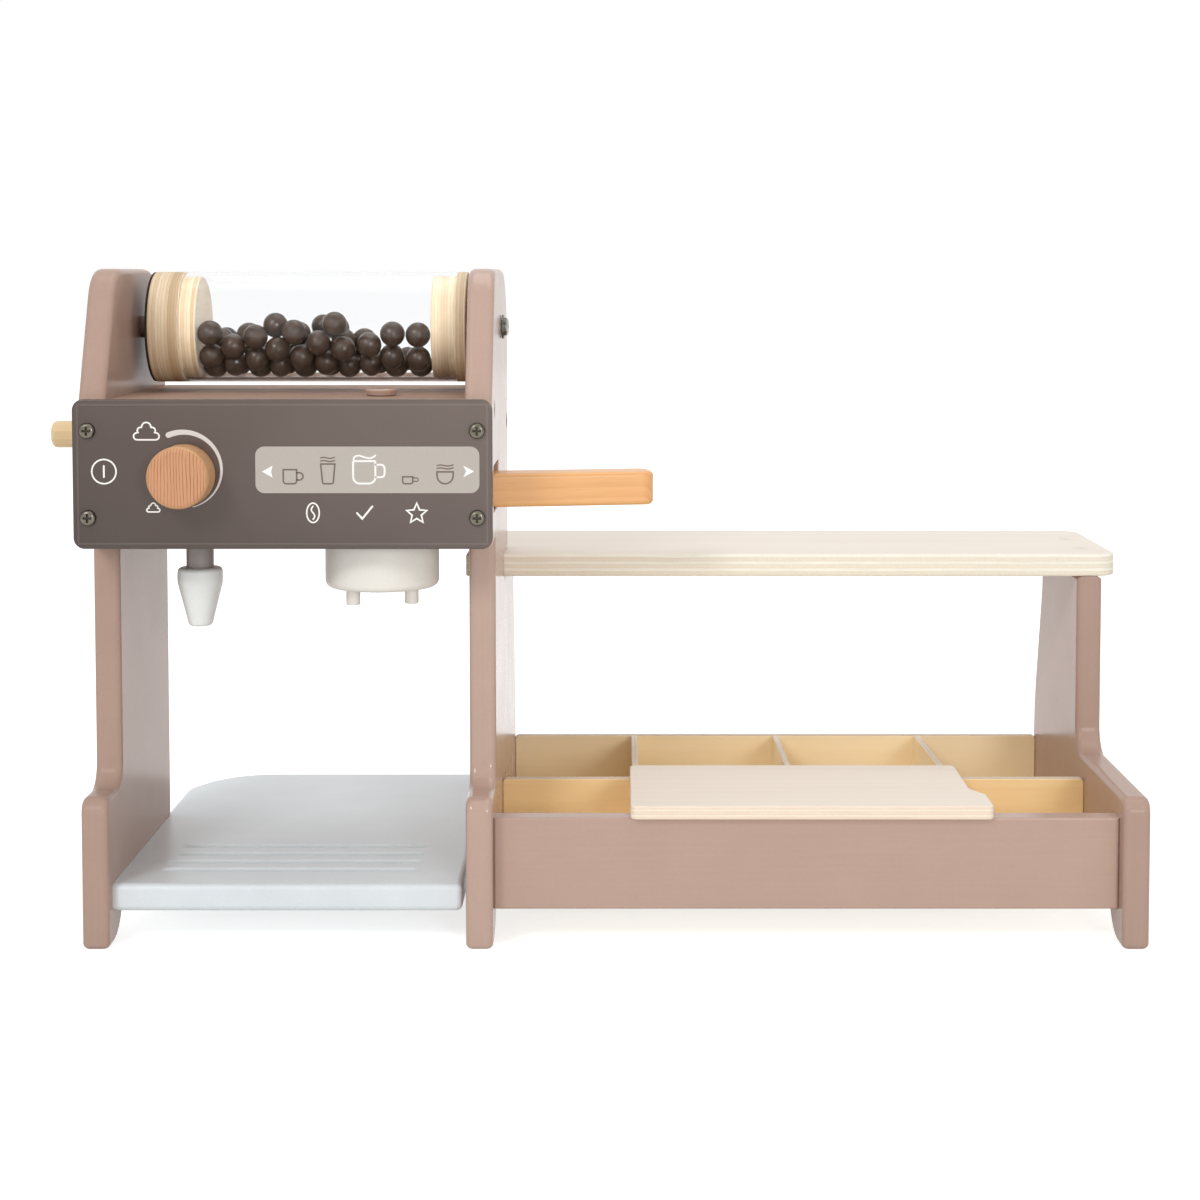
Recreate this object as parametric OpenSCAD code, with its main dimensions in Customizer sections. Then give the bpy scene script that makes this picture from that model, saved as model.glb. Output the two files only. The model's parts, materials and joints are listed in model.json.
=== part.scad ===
// Wooden toy coffee maker with a bean drum, a swinging portafilter, a steam wand, a shelf and a
// compartment tray. Millimetres. X runs to the right, Y to the back and Z up.

/* [Overall] */
// Clear width between the two machine panels
machine_w = 161; // [140:1:200]
// Clear width of the tray, between the middle and the right panel
tray_w = 284.4; // [235:0.1:345]
// Height of the head's underside above the floor
head_z = 182; // [150:1:220]
// Depth of the machine's upper part at its back edge
upper_depth = 142; // [135:1:170]
// Depth of the middle and right panels at the floor
lower_depth = 225; // [205:1:270]

/* [Side panels] */
// Thickness of the three painted panels
panel_t = 12.3; // [9:0.1:15]
// Height of the low foot block in front of the posts
foot_block_h = 69; // [60:1:83]
// Distance from the feet's front to the front of the machine's posts
post_setback = 31; // [24:1:37]
// Distance from the feet's front to the front of the right post
right_post_setback = 109.5; // [102:0.5:116]
// Length of a foot on the floor before its round starts
foot_flat = 10; // [6:0.5:14]
// Radius of the round behind each front foot and before each back foot
foot_round = 21; // [16:0.5:24]
// Height of the arch between the feet
arch_h = 24; // [24:0.5:27]
// Overlap that the head's front keeps behind the feet's front
head_setback = 0.5; // [0:0.5:3]
// Depth of the head's sloped front
head_slope = 32; // [25:1:40]
// Radius of the head's round top corner at the back
head_back_r = 40; // [30:1:50]

/* [Control box] */
// Height of the control plate
plate_h = 66.9; // [62:0.1:80]
// Thickness of the control plate
plate_t = 3; // [2:0.5:4]
// Amount the plate stands proud of the panels' outer faces
plate_overhang = 0.7; // [0:0.1:2]
// Corner radius of the plate
plate_corner = 5; // [2:0.5:8]
// Distance of the plate screws from the plate's top and bottom edge
plate_screw_inset = 14; // [11:0.5:17]
// Thickness of the top board and of the back board
box_board_t = 12; // [9:0.5:14]
// Drop of the top board below the plate's top edge
top_board_drop = 0.55; // [0.2:0.05:4]

/* [Base board] */
// Height of the base board's underside
base_z = 15.5; // [14:0.5:17]
// Thickness of the base board
base_t = 12.7; // [10:0.1:15]
// Distance from the feet's front to the board's front edge
base_setback = 7.5; // [4:0.5:12]
// Depth of the base board
base_depth = 228.2; // [200:0.1:270]
// Gap between the board and the middle panel
base_gap = 2; // [1:0.5:4]
// Radius of the board's back left corner, which stands out behind the left panel
base_corner = 40; // [20:1:50]
// Width of one drip groove
groove_w = 5.5; // [4:0.5:8]
// Depth of one drip groove
groove_depth = 1.2; // [0.8:0.1:2]
// Number of drip grooves
groove_count = 4; // [2:1:5]
// Distance between drip grooves
groove_pitch = 14.6; // [12:0.2:16]

/* [Bean drum] */
// Outer diameter of the clear tube and the discs
drum_d = 53; // [44:0.5:64]
// Wall of the clear tube
tube_wall = 2; // [1.5:0.25:3]
// Distance from the feet's front to the drum's axis
drum_y = 88; // [80:1:96]
// Gap under the drum
drum_clear = 4.2; // [3:0.1:8]
// Thickness of the drive disc
drive_disc_t = 9.2; // [6:0.2:12]
// Thickness of each end cap's flange
flange_t = 5.2; // [4:0.2:8]
// Length of the left cap's plug inside the tube
left_plug_l = 8; // [6:0.5:12]
// Length of the right cap's plug inside the tube
right_plug_l = 11.3; // [8:0.1:14]
// Gap between the left panel and the drive disc
drum_gap_left = 7.3; // [5:0.1:9]
// Gap between the right cap and the middle panel
drum_gap_right = 3.5; // [2:0.1:5]
// Diameter of one bean
bead_d = 12.2; // [10:0.1:14.6]

/* [Crank] */
// Distance from the drum's axis to the crank peg
crank_r = 52; // [43:1:60]
// Thickness of the crank arm
arm_t = 10; // [8:0.5:12]
// Width of the crank arm
arm_w = 22; // [18:0.5:26]
// Diameter of the crank's axle
axle_d = 10; // [8:0.5:12]
// Diameter of the crank peg
peg_d = 13; // [10.5:0.5:15.5]
// Free length of the crank peg
peg_l = 21.6; // [18:0.1:28]

/* [Portafilter] */
// Distance from the middle panel's inner face to the pivot
pivot_from_panel = 40.6; // [34:0.1:48]
// Distance from the feet's front to the pivot
pivot_y = 38; // [36:1:44]
// Diameter of the portafilter
bowl_d = 52.5; // [43:0.5:60]
// Amount the portafilter hangs below the head
bowl_drop = 21.5; // [12:0.5:30]
// Width of the handle
handle_w = 20; // [16.5:0.5:24]
// Height of the handle
handle_h = 15.7; // [13:0.1:19]
// Reach of the handle from the pivot
handle_reach = 127; // [105:1:155]
// Height of the handle's underside above the head's underside
handle_rise = 15; // [14:0.2:17]
// Whole swing of the handle in degrees
swing = 20; // [12:1:22]
// Angle of the handle in the model's pose
swing_now = 10; // [0:1:10]
// Diameter of one spout peg
spout_d = 6.5; // [5:0.5:8]
// Distance between the spout pegs
spout_pitch = 27; // [20:1:32]
// Free length of a spout peg
spout_l = 8.5; // [6:0.5:12]
// Diameter of the pivot peg's shank
pivot_d = 9.5; // [8:0.5:11]

/* [Steam wand] */
// Distance from the left panel's inner face to the wand
wand_from_panel = 35.9; // [28:0.1:42]
// Diameter of the wand's shaft
wand_d = 12.6; // [10.5:0.1:15]
// Free length of the shaft below the head
wand_drop = 12.7; // [8:0.1:20]
// Length of the nozzle
nozzle_l = 27.3; // [23:0.1:34]
// Largest diameter of the nozzle
nozzle_d = 21.4; // [17.8:0.2:26]

/* [Steam knob] */
// Distance from the left panel's inner face to the knob's axis
knob_from_panel = 37; // [30:0.1:45]
// Height of the knob's axis above the head's underside
knob_rise = 33.8; // [28:0.1:40]
// Diameter of the knob
knob_d = 27.6; // [22:0.1:33]
// Length of the knob
knob_l = 18; // [14:0.5:22]

/* [Shelf] */
// Drop of the shelf's top below the head's underside
shelf_drop = 15.8; // [10:0.2:30]
// Thickness of the shelf
shelf_t = 11; // [8:0.5:13]
// Depth of the shelf
shelf_depth = 104.6; // [90:0.2:112]
// Length the shelf stands out at each end past its panel
shelf_overhang_left = 6.9; // [5:0.1:9]
// Length the shelf stands out past the right panel
shelf_overhang_right = 7.4; // [5:0.1:16]
// Diameter of the plugs that cover the shelf's screws
plug_d = 8; // [6:0.5:9.5]

/* [Tray] */
// Height of the tray's underside
tray_z = 16.3; // [14:0.1:20]
// Height of the front wall and the mid wall
tray_wall_h = 42.1; // [35:0.1:46]
// Drop of the back wall's top below the front wall's top
back_wall_drop = 5.5; // [0:0.5:10]
// Distance from the feet's front to the front wall
front_wall_setback = 9; // [6:0.5:14]
// Thickness of the front wall
front_wall_t = 10.4; // [8:0.2:12]
// Distance from the feet's front to the mid wall
mid_wall_y = 88.5; // [74:0.5:100]
// Thickness of the mid wall and the back wall
wall_t = 5.5; // [4:0.25:7]
// Thickness of the dividers
divider_t = 3; // [2.5:0.25:4]
// Distance between dividers
divider_pitch = 77.3; // [64:0.1:92]
// Thickness of the tray's floor
floor_t = 5; // [3:0.5:6]

/* [Serving board] */
// Length of the board along its narrow back part
board_l = 158.9; // [132:0.1:190]
// Extra length of the board's front part
board_step = 6; // [4:0.5:8]
// Depth of the board
board_depth = 86.1; // [85:0.1:95]
// Thickness of the board
board_t = 6.2; // [4:0.2:8]
// Distance from the middle panel to the board
board_from_panel = 62.1; // [50:0.1:76]

/* [Hidden] */
$fn = 64;
arc_step = 9;        // degrees of one segment on a rounded corner
glue = 0.05;         // radial gap of a glued or screwed joint
run_gap = 0.06;      // radial gap of a shaft that turns in a bore
skim = 0.3;          // gap between faces that slide past each other
cut = 1;             // length a cutter runs past the face it cuts

// X of the panels' faces
left_in = panel_t;
middle_in = left_in + machine_w;
middle_out = middle_in + panel_t;
right_in = middle_out + tray_w;
right_out = right_in + panel_t;

// Heights of the head, the control box and the drum
plate_z = head_z + 0.5;
head_top = plate_z + plate_h;
top_board_top = head_top - top_board_drop;
top_board_z = top_board_top - box_board_t;
drum_r = drum_d / 2;
tube_r = drum_r - tube_wall;
drum_z = top_board_top + drum_clear + drum_r;
panel_rim = 1.4;     // amount the panels stand above the drum
panel_top = drum_z + drum_r + panel_rim;
foot_l = foot_flat + foot_round;

// Front and back of the control plate, the shelf and the base board
plate_back = head_setback;
plate_front = plate_back - plate_t;
knob_front = plate_front - skim - knob_l;
base_back = base_setback + base_depth;
base_top = base_z + base_t;
shelf_top = head_z - shelf_drop;
shelf_z = shelf_top - shelf_t;
shelf_y = right_post_setback + 0.5;
shelf_back = shelf_y + shelf_depth;
shelf_shoulder = shelf_back - 10;   // back edge of the panels right under the shelf
shelf_housing = 0.5; // depth of the shelf's housing for the middle panel
shelf_plug_l = 3.2;
shelf_screw_l = 24;

// Rounds of the panels' outlines and heights of their corners
edge_r = 2.5;        // at the back of a foot and at the head's lower front
arch_r = 2;
toe_r = 7;
post_fillet = 11;
right_post_fillet = 12;
head_front_r = 10;
head_front_drop = 13;    // drop of the corner where the head's front starts to slope below the plate's top
head_top_front_r = 20;
shoulder_r = 60;
shoulder_drop = 17.5;    // drop of the shoulder's corner below the shelf's underside
lower_back_r = 100;
lower_back_drop = 85;    // drop of the lower back's corner below the shelf's underside

// Middle of the whole object, which the model's origin stands under
crank_tip = -skim - arm_t - peg_l;
shelf_right = right_out + shelf_overhang_right;
mid_x = (crank_tip + shelf_right) / 2;
mid_y = (knob_front + base_back) / 2;

// Places of the pivot, the wand, the knob and the drum's parts
pivot_x = middle_in - pivot_from_panel;
wand_x = left_in + wand_from_panel;
knob_x = left_in + knob_from_panel;
knob_z = head_z + knob_rise;
disc_x = left_in + drum_gap_left;
left_flange_x = disc_x + drive_disc_t;
tube_x = left_flange_x + flange_t;
right_flange_x = middle_in - drum_gap_right - flange_t;
tube_l = right_flange_x - tube_x;
bowl_z = head_z - bowl_drop;
bowl_top = top_board_z - skim;
handle_z = head_z + handle_rise;
handle_start = bowl_d * 0.16;   // inner end of the handle, from the pivot
handle_slot_side = 0.8;  // clearance beside the handle at each end of its swing
handle_slot_y = (pivot_from_panel + panel_t) * tan(swing / 2) + handle_w / 2 / cos(swing / 2)
    + handle_slot_side;
handle_slot_z = [0.5, 4.9];  // clearance under and over the handle in its slot
handle_slot_r = 1.5;  // corner radius of the slot

// Tray and serving board
wall_top = tray_z + tray_wall_h;
floor_top = max(tray_z + floor_t, arch_h + 0.3);   // above the arches, which would be gaps in the tray
floor_to_wall_top = wall_top - floor_top;
back_wall_top = wall_top - back_wall_drop;
back_wall_y = lower_depth - 1 - wall_t;
front_wall_back = front_wall_setback + front_wall_t;
tray_mid_x = (middle_out + right_in) / 2;
board_x = middle_out + board_from_panel;
board_y = front_wall_setback - 3.8;
board_step_y = [24, 36];  // start and end of the curved step, from the board's front
board_r = 3;
board_step_r = 10;
divider_drop = 0.4;       // drop of the dividers' top below the walls' top

// Screws: head and shank of the pan-head screws
screw_head_d = 7.2;
screw_head_h = 2.2;
screw_d = 3.6;
flat_head_d = 7.6;        // countersunk screws through the panels' outer faces
flat_head_h = (flat_head_d - screw_d) / 2;
flat_sink = 0.2;          // depth of their heads below the face
plate_screw_l = 14;
side_screw_l = panel_t + 16;
axle_screw_d = 5;
axle_screw_head_d = 8.8;
axle_screw_head_h = 2.2;
washer_t = 1;
washer_d = 11.4;
knob_screw_depth = 11;
axle_end_gap = 4;         // wood left in the left cap past the axle's end
axle_screw_gap = 6;       // wood left in the right cap past the screw's end
plate_screw_x = [panel_t / 2, middle_in + panel_t / 2];
plate_screw_z = [plate_z + plate_screw_inset, head_top - plate_screw_inset];
base_screw_z = base_z + base_t / 2;
foot_screw_y = foot_l / 2;

// Blind sockets: depth of each, whose peg ends a little short of the bottom
socket_gap = 0.2;
wand_socket = 7;
nozzle_socket = 10.2;
spout_socket = 9;
pivot_socket = 17;
tenon_d = peg_d * 0.62;

// Screws through the left and right faces of the machine, each as [y, z]
box_screws = [[27.6, top_board_top - box_board_t * 0.46],
              [upper_depth - box_board_t / 2, top_board_z - box_board_t / 2]];
base_screws = [[foot_screw_y, base_screw_z], [upper_depth - foot_screw_y, base_screw_z]];
tray_screws = [for (k = [0.3, 0.7])   // share of the front wall's height
    [front_wall_setback + front_wall_t / 2, tray_z + k * tray_wall_h]];

painted = [0.73, 0.63, 0.57];
white = [0.88, 0.90, 0.89];
ply = [0.92, 0.87, 0.79];
beech = [0.87, 0.65, 0.44];
pale_wood = [0.90, 0.79, 0.60];
steel = [0.72, 0.73, 0.74];

// Points that round corner b of an outline by radius b[2]; a and c are its neighbours
function corner_arc(a, b, c) =
    let (p = [b[0], b[1]], u = [a[0], a[1]] - p, v = [c[0], c[1]] - p,
         un = u / norm(u), vn = v / norm(v), half = acos(un * vn) / 2)
    b[2] == 0 ? [p] :
    let (o = p + (un + vn) / norm(un + vn) * b[2] / sin(half),
         s = p + un * b[2] / tan(half) - o, e = p + vn * b[2] / tan(half) - o,
         turn = atan2(s[0] * e[1] - s[1] * e[0], s * e), n = ceil(abs(turn) / arc_step))
    [for (i = [0:n]) let (t = turn * i / n)
        o + [s[0] * cos(t) - s[1] * sin(t), s[0] * sin(t) + s[1] * cos(t)]];

// Outline with every corner [u, v, radius] rounded
function rounded(corners) =
    let (n = len(corners))
    [for (i = [0:n - 1]) each corner_arc(corners[(i + n - 1) % n], corners[i], corners[(i + 1) % n])];

module placed() { translate([-mid_x, -mid_y, 0]) children(); }

// A shape drawn in (y, z) and made t thick from x onwards
module board_x_way(x, t) { translate([x, 0, 0]) rotate([90, 0, 90]) linear_extrude(t) children(); }

// A shape drawn in (x, z) and made t thick from y onwards
module board_y_way(y, t) { translate([0, y + t, 0]) rotate([90, 0, 0]) linear_extrude(t) children(); }

// A shape drawn in (x, y) and made t thick from z onwards
module board_z_way(z, t) { translate([0, 0, z]) linear_extrude(t) children(); }

module along_x(x, y, z) { translate([x, y, z]) rotate([0, 90, 0]) children(); }
module along_y(x, y, z) { translate([x, y, z]) rotate([-90, 0, 0]) children(); }

// A solid of revolution from corners [radius, height, rounding]
module turned(corners) { rotate_extrude() polygon(rounded(corners)); }

// A round bar from the origin up Z, with both ends rounded by r
module dowel(d, l, r) { turned([[0, 0, 0], [d / 2, 0, r], [d / 2, l, r], [0, l, 0]]); }

// Pan-head screw whose head sits on z = 0 and whose shank points down, with a cross recess
module screw(l, d = screw_d, head_d = screw_head_d, head_h = screw_head_h) {
    slot_l = head_d * 0.55;
    slot_w = head_d * 0.15;
    difference() {
        union() {
            turned([[0, 0, 0], [head_d / 2, 0, 0], [head_d / 2, head_h, head_h * 0.75], [0, head_h, 0]]);
            translate([0, 0, -l]) cylinder(d = d, h = l + cut / 2);
        }
        for (a = [0, 90]) rotate(a)
            translate([-slot_l / 2, -slot_w / 2, head_h * 0.45]) cube([slot_l, slot_w, head_h]);
    }
}

// Countersunk screw that points down from a face at z = 0, with a cross recess
module flat_screw(l) {
    slot_l = flat_head_d * 0.55;
    slot_w = flat_head_d * 0.15;
    difference() {
        union() {
            translate([0, 0, -flat_sink - flat_head_h])
                cylinder(d1 = screw_d, d2 = flat_head_d, h = flat_head_h);
            translate([0, 0, -l]) cylinder(d = screw_d, h = l - flat_sink - flat_head_h / 2);
        }
        for (a = [0, 90]) rotate(a)
            translate([-slot_l / 2, -slot_w / 2, -flat_sink - flat_head_h * 0.6])
                cube([slot_l, slot_w, flat_head_h]);
    }
}

module flat_screw_hole(l) {
    screw_hole(l);
    translate([0, 0, -flat_sink - flat_head_h])
        cylinder(r1 = screw_d / 2 + glue, r2 = flat_head_d / 2 + glue, h = flat_head_h);
    translate([0, 0, -flat_sink]) cylinder(r = flat_head_d / 2 + glue, h = flat_sink + cut);
}

// Hole for a screw, from just outside the head's seat to the shank's end
module screw_hole(l, d = screw_d) {
    translate([0, 0, -l - glue]) cylinder(r = d / 2 + glue, h = l + glue + cut);
}

// Children at each screw through a face at x, whose shanks point along way (1 right, -1 left)
module at_side(x, spots, way) {
    for (s = spots) translate([x, s[0], s[1]]) rotate([0, way > 0 ? -90 : 90, 0]) children();
}

module plate_screw_spots() {
    for (x = plate_screw_x, z = plate_screw_z) translate([x, plate_front, z]) rotate([90, 0, 0]) children();
}

module side_screw_holes() {
    at_side(0, concat(box_screws, base_screws), 1) flat_screw_hole(side_screw_l);
    at_side(middle_out, box_screws, -1) flat_screw_hole(side_screw_l);
    at_side(right_out, tray_screws, -1) flat_screw_hole(side_screw_l);
}

// Corners of the front foot, the ledge and the post, up to post height z
function low_front(setback, z, ledge_fillet) =
    [[setback, z, 0], [setback, foot_block_h, ledge_fillet], [0, foot_block_h, toe_r], [0, 0, edge_r],
     [foot_l, 0, foot_round], [foot_l, arch_h, arch_r]];

// Corners of the back foot of a panel with depth d
function back_foot(d) =
    [[d - foot_l, arch_h, arch_r], [d - foot_l, 0, foot_round], [d, 0, edge_r]];

// Corners of the head, from its front underside over the top to the back edge
function head_corners() =
    [[upper_depth, panel_top, head_back_r], [head_slope, panel_top, head_top_front_r],
     [head_setback, head_top - head_front_drop, head_front_r], [head_setback, head_z, edge_r]];

// Corners of the wide lower back under the shelf
function lower_back() =
    [[lower_depth, shelf_z - lower_back_drop, lower_back_r],
     [shelf_shoulder, shelf_z - shoulder_drop, shoulder_r], [shelf_shoulder, shelf_z, 0]];

module left_outline() {
    polygon(rounded(concat(low_front(post_setback, head_z, post_fillet), back_foot(upper_depth),
                           head_corners())));
}

module middle_outline() {
    seat = shelf_top - shelf_housing;
    shelf_notch = [[shelf_y, shelf_z, 0], [shelf_y, seat, 0], [upper_depth, seat, 0]];
    difference() {
        polygon(rounded(concat(low_front(post_setback, head_z, post_fillet), back_foot(lower_depth),
                               lower_back(), shelf_notch, head_corners())));
        low = handle_z - handle_slot_z[0];
        high = handle_z + handle_h + handle_slot_z[1];
        polygon(rounded([for (c = [[-1, low], [1, low], [1, high], [-1, high]])
            [pivot_y + c[0] * handle_slot_y, c[1], handle_slot_r]]));
    }
}

module right_outline() {
    polygon(rounded(concat(low_front(right_post_setback, shelf_z, right_post_fillet),
                           back_foot(lower_depth), lower_back())));
}

module left_side_panel() placed() color(painted) difference() {
    board_x_way(0, panel_t) left_outline();
    side_screw_holes();
    plate_screw_spots() screw_hole(plate_screw_l);
    along_x(-cut, drum_y, drum_z) cylinder(r = axle_d / 2 + run_gap, h = panel_t + 2 * cut);
}

module middle_side_panel() placed() color(painted) difference() {
    board_x_way(middle_in, panel_t) middle_outline();
    side_screw_holes();
    plate_screw_spots() screw_hole(plate_screw_l);
    along_x(middle_in - cut, drum_y, drum_z)
        cylinder(r = axle_screw_d / 2 + run_gap, h = panel_t + 2 * cut);
}

module right_side_panel() placed() color(painted) difference() {
    board_x_way(right_in, panel_t) right_outline();
    side_screw_holes();
    plug_spots() screw_hole(shelf_screw_l);
}

// One drip groove, a round-bottomed flute with round ends
module drip_groove(x, l, y) {
    r = (groove_w * groove_w / 4 + groove_depth * groove_depth) / (2 * groove_depth);
    along_x(x + r, y, base_top + r - groove_depth) {
        cylinder(r = r, h = l - 2 * r);
        sphere(r = r);
        translate([0, 0, l - 2 * r]) sphere(r = r);
    }
}

module base_board() placed() color(white) {
    groove_inset = [20, 19];   // left and right
    groove_y = post_setback + 2;
    front_r = 3;
    right_r = 6;
    right = middle_in - base_gap;
    difference() {
        board_z_way(base_z, base_t) polygon(rounded([
            [left_in, base_setback, front_r], [right, base_setback, front_r],
            [right, base_back, right_r], [left_in, base_back, base_corner]]));
        for (i = [0:groove_count - 1])
            drip_groove(left_in + groove_inset[0], right - left_in - groove_inset[0] - groove_inset[1],
                        groove_y + i * groove_pitch);
        side_screw_holes();
    }
}

module top_board() placed() color(painted) difference() {
    front = plate_back + 1.5;
    translate([left_in, front, top_board_z]) cube([machine_w, upper_depth - front, box_board_t]);
    side_screw_holes();
    translate([pivot_x, pivot_y, top_board_z - cut])
        cylinder(r = pivot_d / 2 + run_gap, h = box_board_t + 2 * cut);
    translate([wand_x, pivot_y, top_board_z - cut]) cylinder(r = wand_d / 2 + glue, h = cut + wand_socket);
}

module back_board() placed() color(painted) difference() {
    translate([left_in, upper_depth - box_board_t, head_z])
        cube([machine_w, box_board_t, top_board_z - head_z]);
    side_screw_holes();
}

module control_plate() placed() color([0.44, 0.39, 0.36]) difference() {
    board_y_way(plate_front, plate_t) polygon(rounded([
        [-plate_overhang, plate_z, plate_corner], [middle_out + plate_overhang, plate_z, plate_corner],
        [middle_out + plate_overhang, head_top, plate_corner], [-plate_overhang, head_top, plate_corner]]));
    plate_screw_spots() screw_hole(plate_screw_l);
    along_y(knob_x, plate_front - cut, knob_z) cylinder(r = screw_d / 2 + run_gap, h = plate_t + 2 * cut);
}

module plate_screws() placed() color(steel) plate_screw_spots() screw(plate_screw_l);

module side_screws() placed() color(steel) {
    at_side(0, concat(box_screws, base_screws), 1) flat_screw(side_screw_l);
    at_side(middle_out, box_screws, -1) flat_screw(side_screw_l);
    at_side(right_out, tray_screws, -1) flat_screw(side_screw_l);
}

module steam_shaft() placed() color([0.57, 0.53, 0.51]) {
    bottom = head_z - wand_drop - nozzle_socket + socket_gap;
    top = top_board_z + wand_socket - socket_gap;
    translate([wand_x, pivot_y, bottom]) dowel(wand_d, top - bottom, 0.8);
}

module steam_nozzle() placed() color(white) {
    top = head_z - wand_drop;
    r = nozzle_d / 2;
    translate([wand_x, pivot_y, top - nozzle_l]) difference() {
        turned([[0, 0, 0], [r * 0.5, 0, 2], [r, nozzle_l * 0.77, 12], [r * 0.97, nozzle_l, 2],
                [0, nozzle_l, 0]]);
        translate([0, 0, nozzle_l - nozzle_socket])
            cylinder(r = wand_d / 2 + glue, h = nozzle_socket + cut);
    }
}

module steam_knob() placed() color(beech) along_y(knob_x, knob_front, knob_z) difference() {
    turned([[0, 0, 0], [knob_d / 2, 0, 3], [knob_d / 2, knob_l, 0.8], [0, knob_l, 0]]);
    translate([0, 0, knob_l - knob_screw_depth - cut])
        cylinder(r = screw_d / 2 + glue, h = knob_screw_depth + 2 * cut);
}

module knob_screw() placed() color(steel)
    along_y(knob_x, plate_back + skim + washer_t, knob_z)
        screw(washer_t + skim + plate_t + skim + knob_screw_depth);

module knob_washer() placed() color(steel)
    along_y(knob_x, plate_back + skim, knob_z) washer(screw_d, washer_d);

module washer(hole_d, d) {
    difference() {
        cylinder(d = d, h = washer_t);
        translate([0, 0, -cut]) cylinder(r = hole_d / 2 + glue, h = washer_t + 2 * cut);
    }
}

// Frame of the portafilter: the pivot's axis is z and the handle points along x
module on_pivot() { translate([pivot_x, pivot_y, 0]) rotate(swing_now) children(); }

// Blank of the handle, a bar with a round end, from x = start to its reach
module handle_bar(start) {
    board_z_way(handle_z, handle_h) polygon(rounded([
        [start, -handle_w / 2, 0], [handle_reach, -handle_w / 2, handle_w * 0.3],
        [handle_reach, handle_w / 2, handle_w * 0.3], [start, handle_w / 2, 0]]));
}

module spout_spots() { for (s = [-1, 1]) translate([s * spout_pitch / 2, 0, bowl_z]) children(); }

module portafilter_bowl() placed() color([0.92, 0.91, 0.88]) on_pivot() {
    difference() {
        translate([0, 0, bowl_z]) turned([[0, 0, 0], [bowl_d / 2, 0, 3],
            [bowl_d / 2, bowl_top - bowl_z, 1.5], [0, bowl_top - bowl_z, 0]]);
        translate([handle_start - glue, -handle_w / 2 - glue, handle_z - glue])
            cube([bowl_d, handle_w + 2 * glue, handle_h + 2 * glue]);
        spout_spots() translate([0, 0, -cut]) cylinder(r = spout_d / 2 + glue, h = cut + spout_socket);
        translate([0, 0, bowl_top - pivot_socket])
            cylinder(r = pivot_d / 2 + glue, h = pivot_socket + cut);
    }
}

module portafilter_handle() placed() color(beech) on_pivot() handle_bar(handle_start);

module spout_pegs() placed() color([0.92, 0.91, 0.88]) on_pivot()
    spout_spots() translate([0, 0, -spout_l])
        dowel(spout_d, spout_l + spout_socket - socket_gap, 0.8);

module pivot_peg() placed() color(painted) on_pivot() {
    cap_r = pivot_d * 0.84;
    cap_h = 3.1;
    translate([0, 0, top_board_top + skim])
        turned([[0, 0, 0], [cap_r * 0.84, 0, 0.5], [cap_r, cap_h, 0.8], [0, cap_h, 0]]);
    bottom = bowl_top - pivot_socket + socket_gap;
    translate([0, 0, bottom]) cylinder(d = pivot_d, h = top_board_top + cut - bottom);
}

module drum_tube() placed() color([0.85, 0.93, 0.96, 0.35]) along_x(tube_x, drum_y, drum_z)
    difference() {
        cylinder(r = drum_r, h = tube_l, $fn = 96);
        translate([0, 0, -cut]) cylinder(r = tube_r, h = tube_l + 2 * cut, $fn = 96);
    }

// End cap: a flange as wide as the tube and a plug that fits inside it, from the flange's outside
module end_cap(plug_l) {
    turned([[0, 0, 0], [drum_r, 0, 0.6], [drum_r, flange_t, 0], [tube_r - glue, flange_t, 0],
            [tube_r - glue, flange_t + plug_l, 0.6], [0, flange_t + plug_l, 0]]);
}

module drum_cap_left() placed() color(pale_wood) difference() {
    along_x(left_flange_x, drum_y, drum_z) end_cap(left_plug_l);
    crank_axle_hole();
}

module drum_cap_right() placed() color(pale_wood) difference() {
    along_x(right_flange_x + flange_t, drum_y, drum_z) mirror([0, 0, 1]) end_cap(right_plug_l);
    along_x(middle_out + washer_t + skim, drum_y, drum_z) screw_hole(axle_screw_l(), axle_screw_d);
}

module drive_disc() placed() color(pale_wood) difference() {
    along_x(disc_x, drum_y, drum_z) turned([[0, 0, 0], [drum_r, 0, 0.8],
        [drum_r, drive_disc_t, 0.6], [0, drive_disc_t, 0]]);
    crank_axle_hole();
}

// The axle runs from the arm's outer face into the left cap
function crank_axle_end() = tube_x + left_plug_l - axle_end_gap;

module crank_axle_hole() {
    along_x(-skim - arm_t - cut, drum_y, drum_z)
        cylinder(r = axle_d / 2 + glue, h = crank_axle_end() + glue + skim + arm_t + cut);
}

module crank_axle() placed() color(pale_wood)
    along_x(-skim - arm_t, drum_y, drum_z) dowel(axle_d, crank_axle_end() + skim + arm_t, 0.6);

module crank_arm() placed() color(ply) difference() {
    board_x_way(-skim - arm_t, arm_t) union() {
        for (z = [drum_z, drum_z - crank_r]) translate([drum_y, z]) circle(d = arm_w);
        translate([drum_y - arm_w / 2, drum_z - crank_r]) square([arm_w, crank_r]);
    }
    crank_axle_hole();
    along_x(-skim - arm_t - cut, drum_y, drum_z - crank_r)
        cylinder(r = tenon_d / 2 + glue, h = arm_t + 2 * cut);
}

// Peg handle: a thick grip with a thinner tenon through the arm
module crank_peg() placed() color(beech) along_x(crank_tip, drum_y, drum_z - crank_r) {
    turned([[0, 0, 0], [peg_d / 2, 0, 2.5], [peg_d / 2, peg_l, 0.8], [0, peg_l, 0]]);
    translate([0, 0, peg_l - cut]) cylinder(d = tenon_d, h = arm_t + cut);
}

function axle_screw_l() = middle_out + washer_t + skim - right_flange_x + right_plug_l - axle_screw_gap;

module axle_screw() placed() color(steel) along_x(middle_out + washer_t + skim, drum_y, drum_z)
    screw(axle_screw_l(), axle_screw_d, axle_screw_head_d, axle_screw_head_h);

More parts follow.
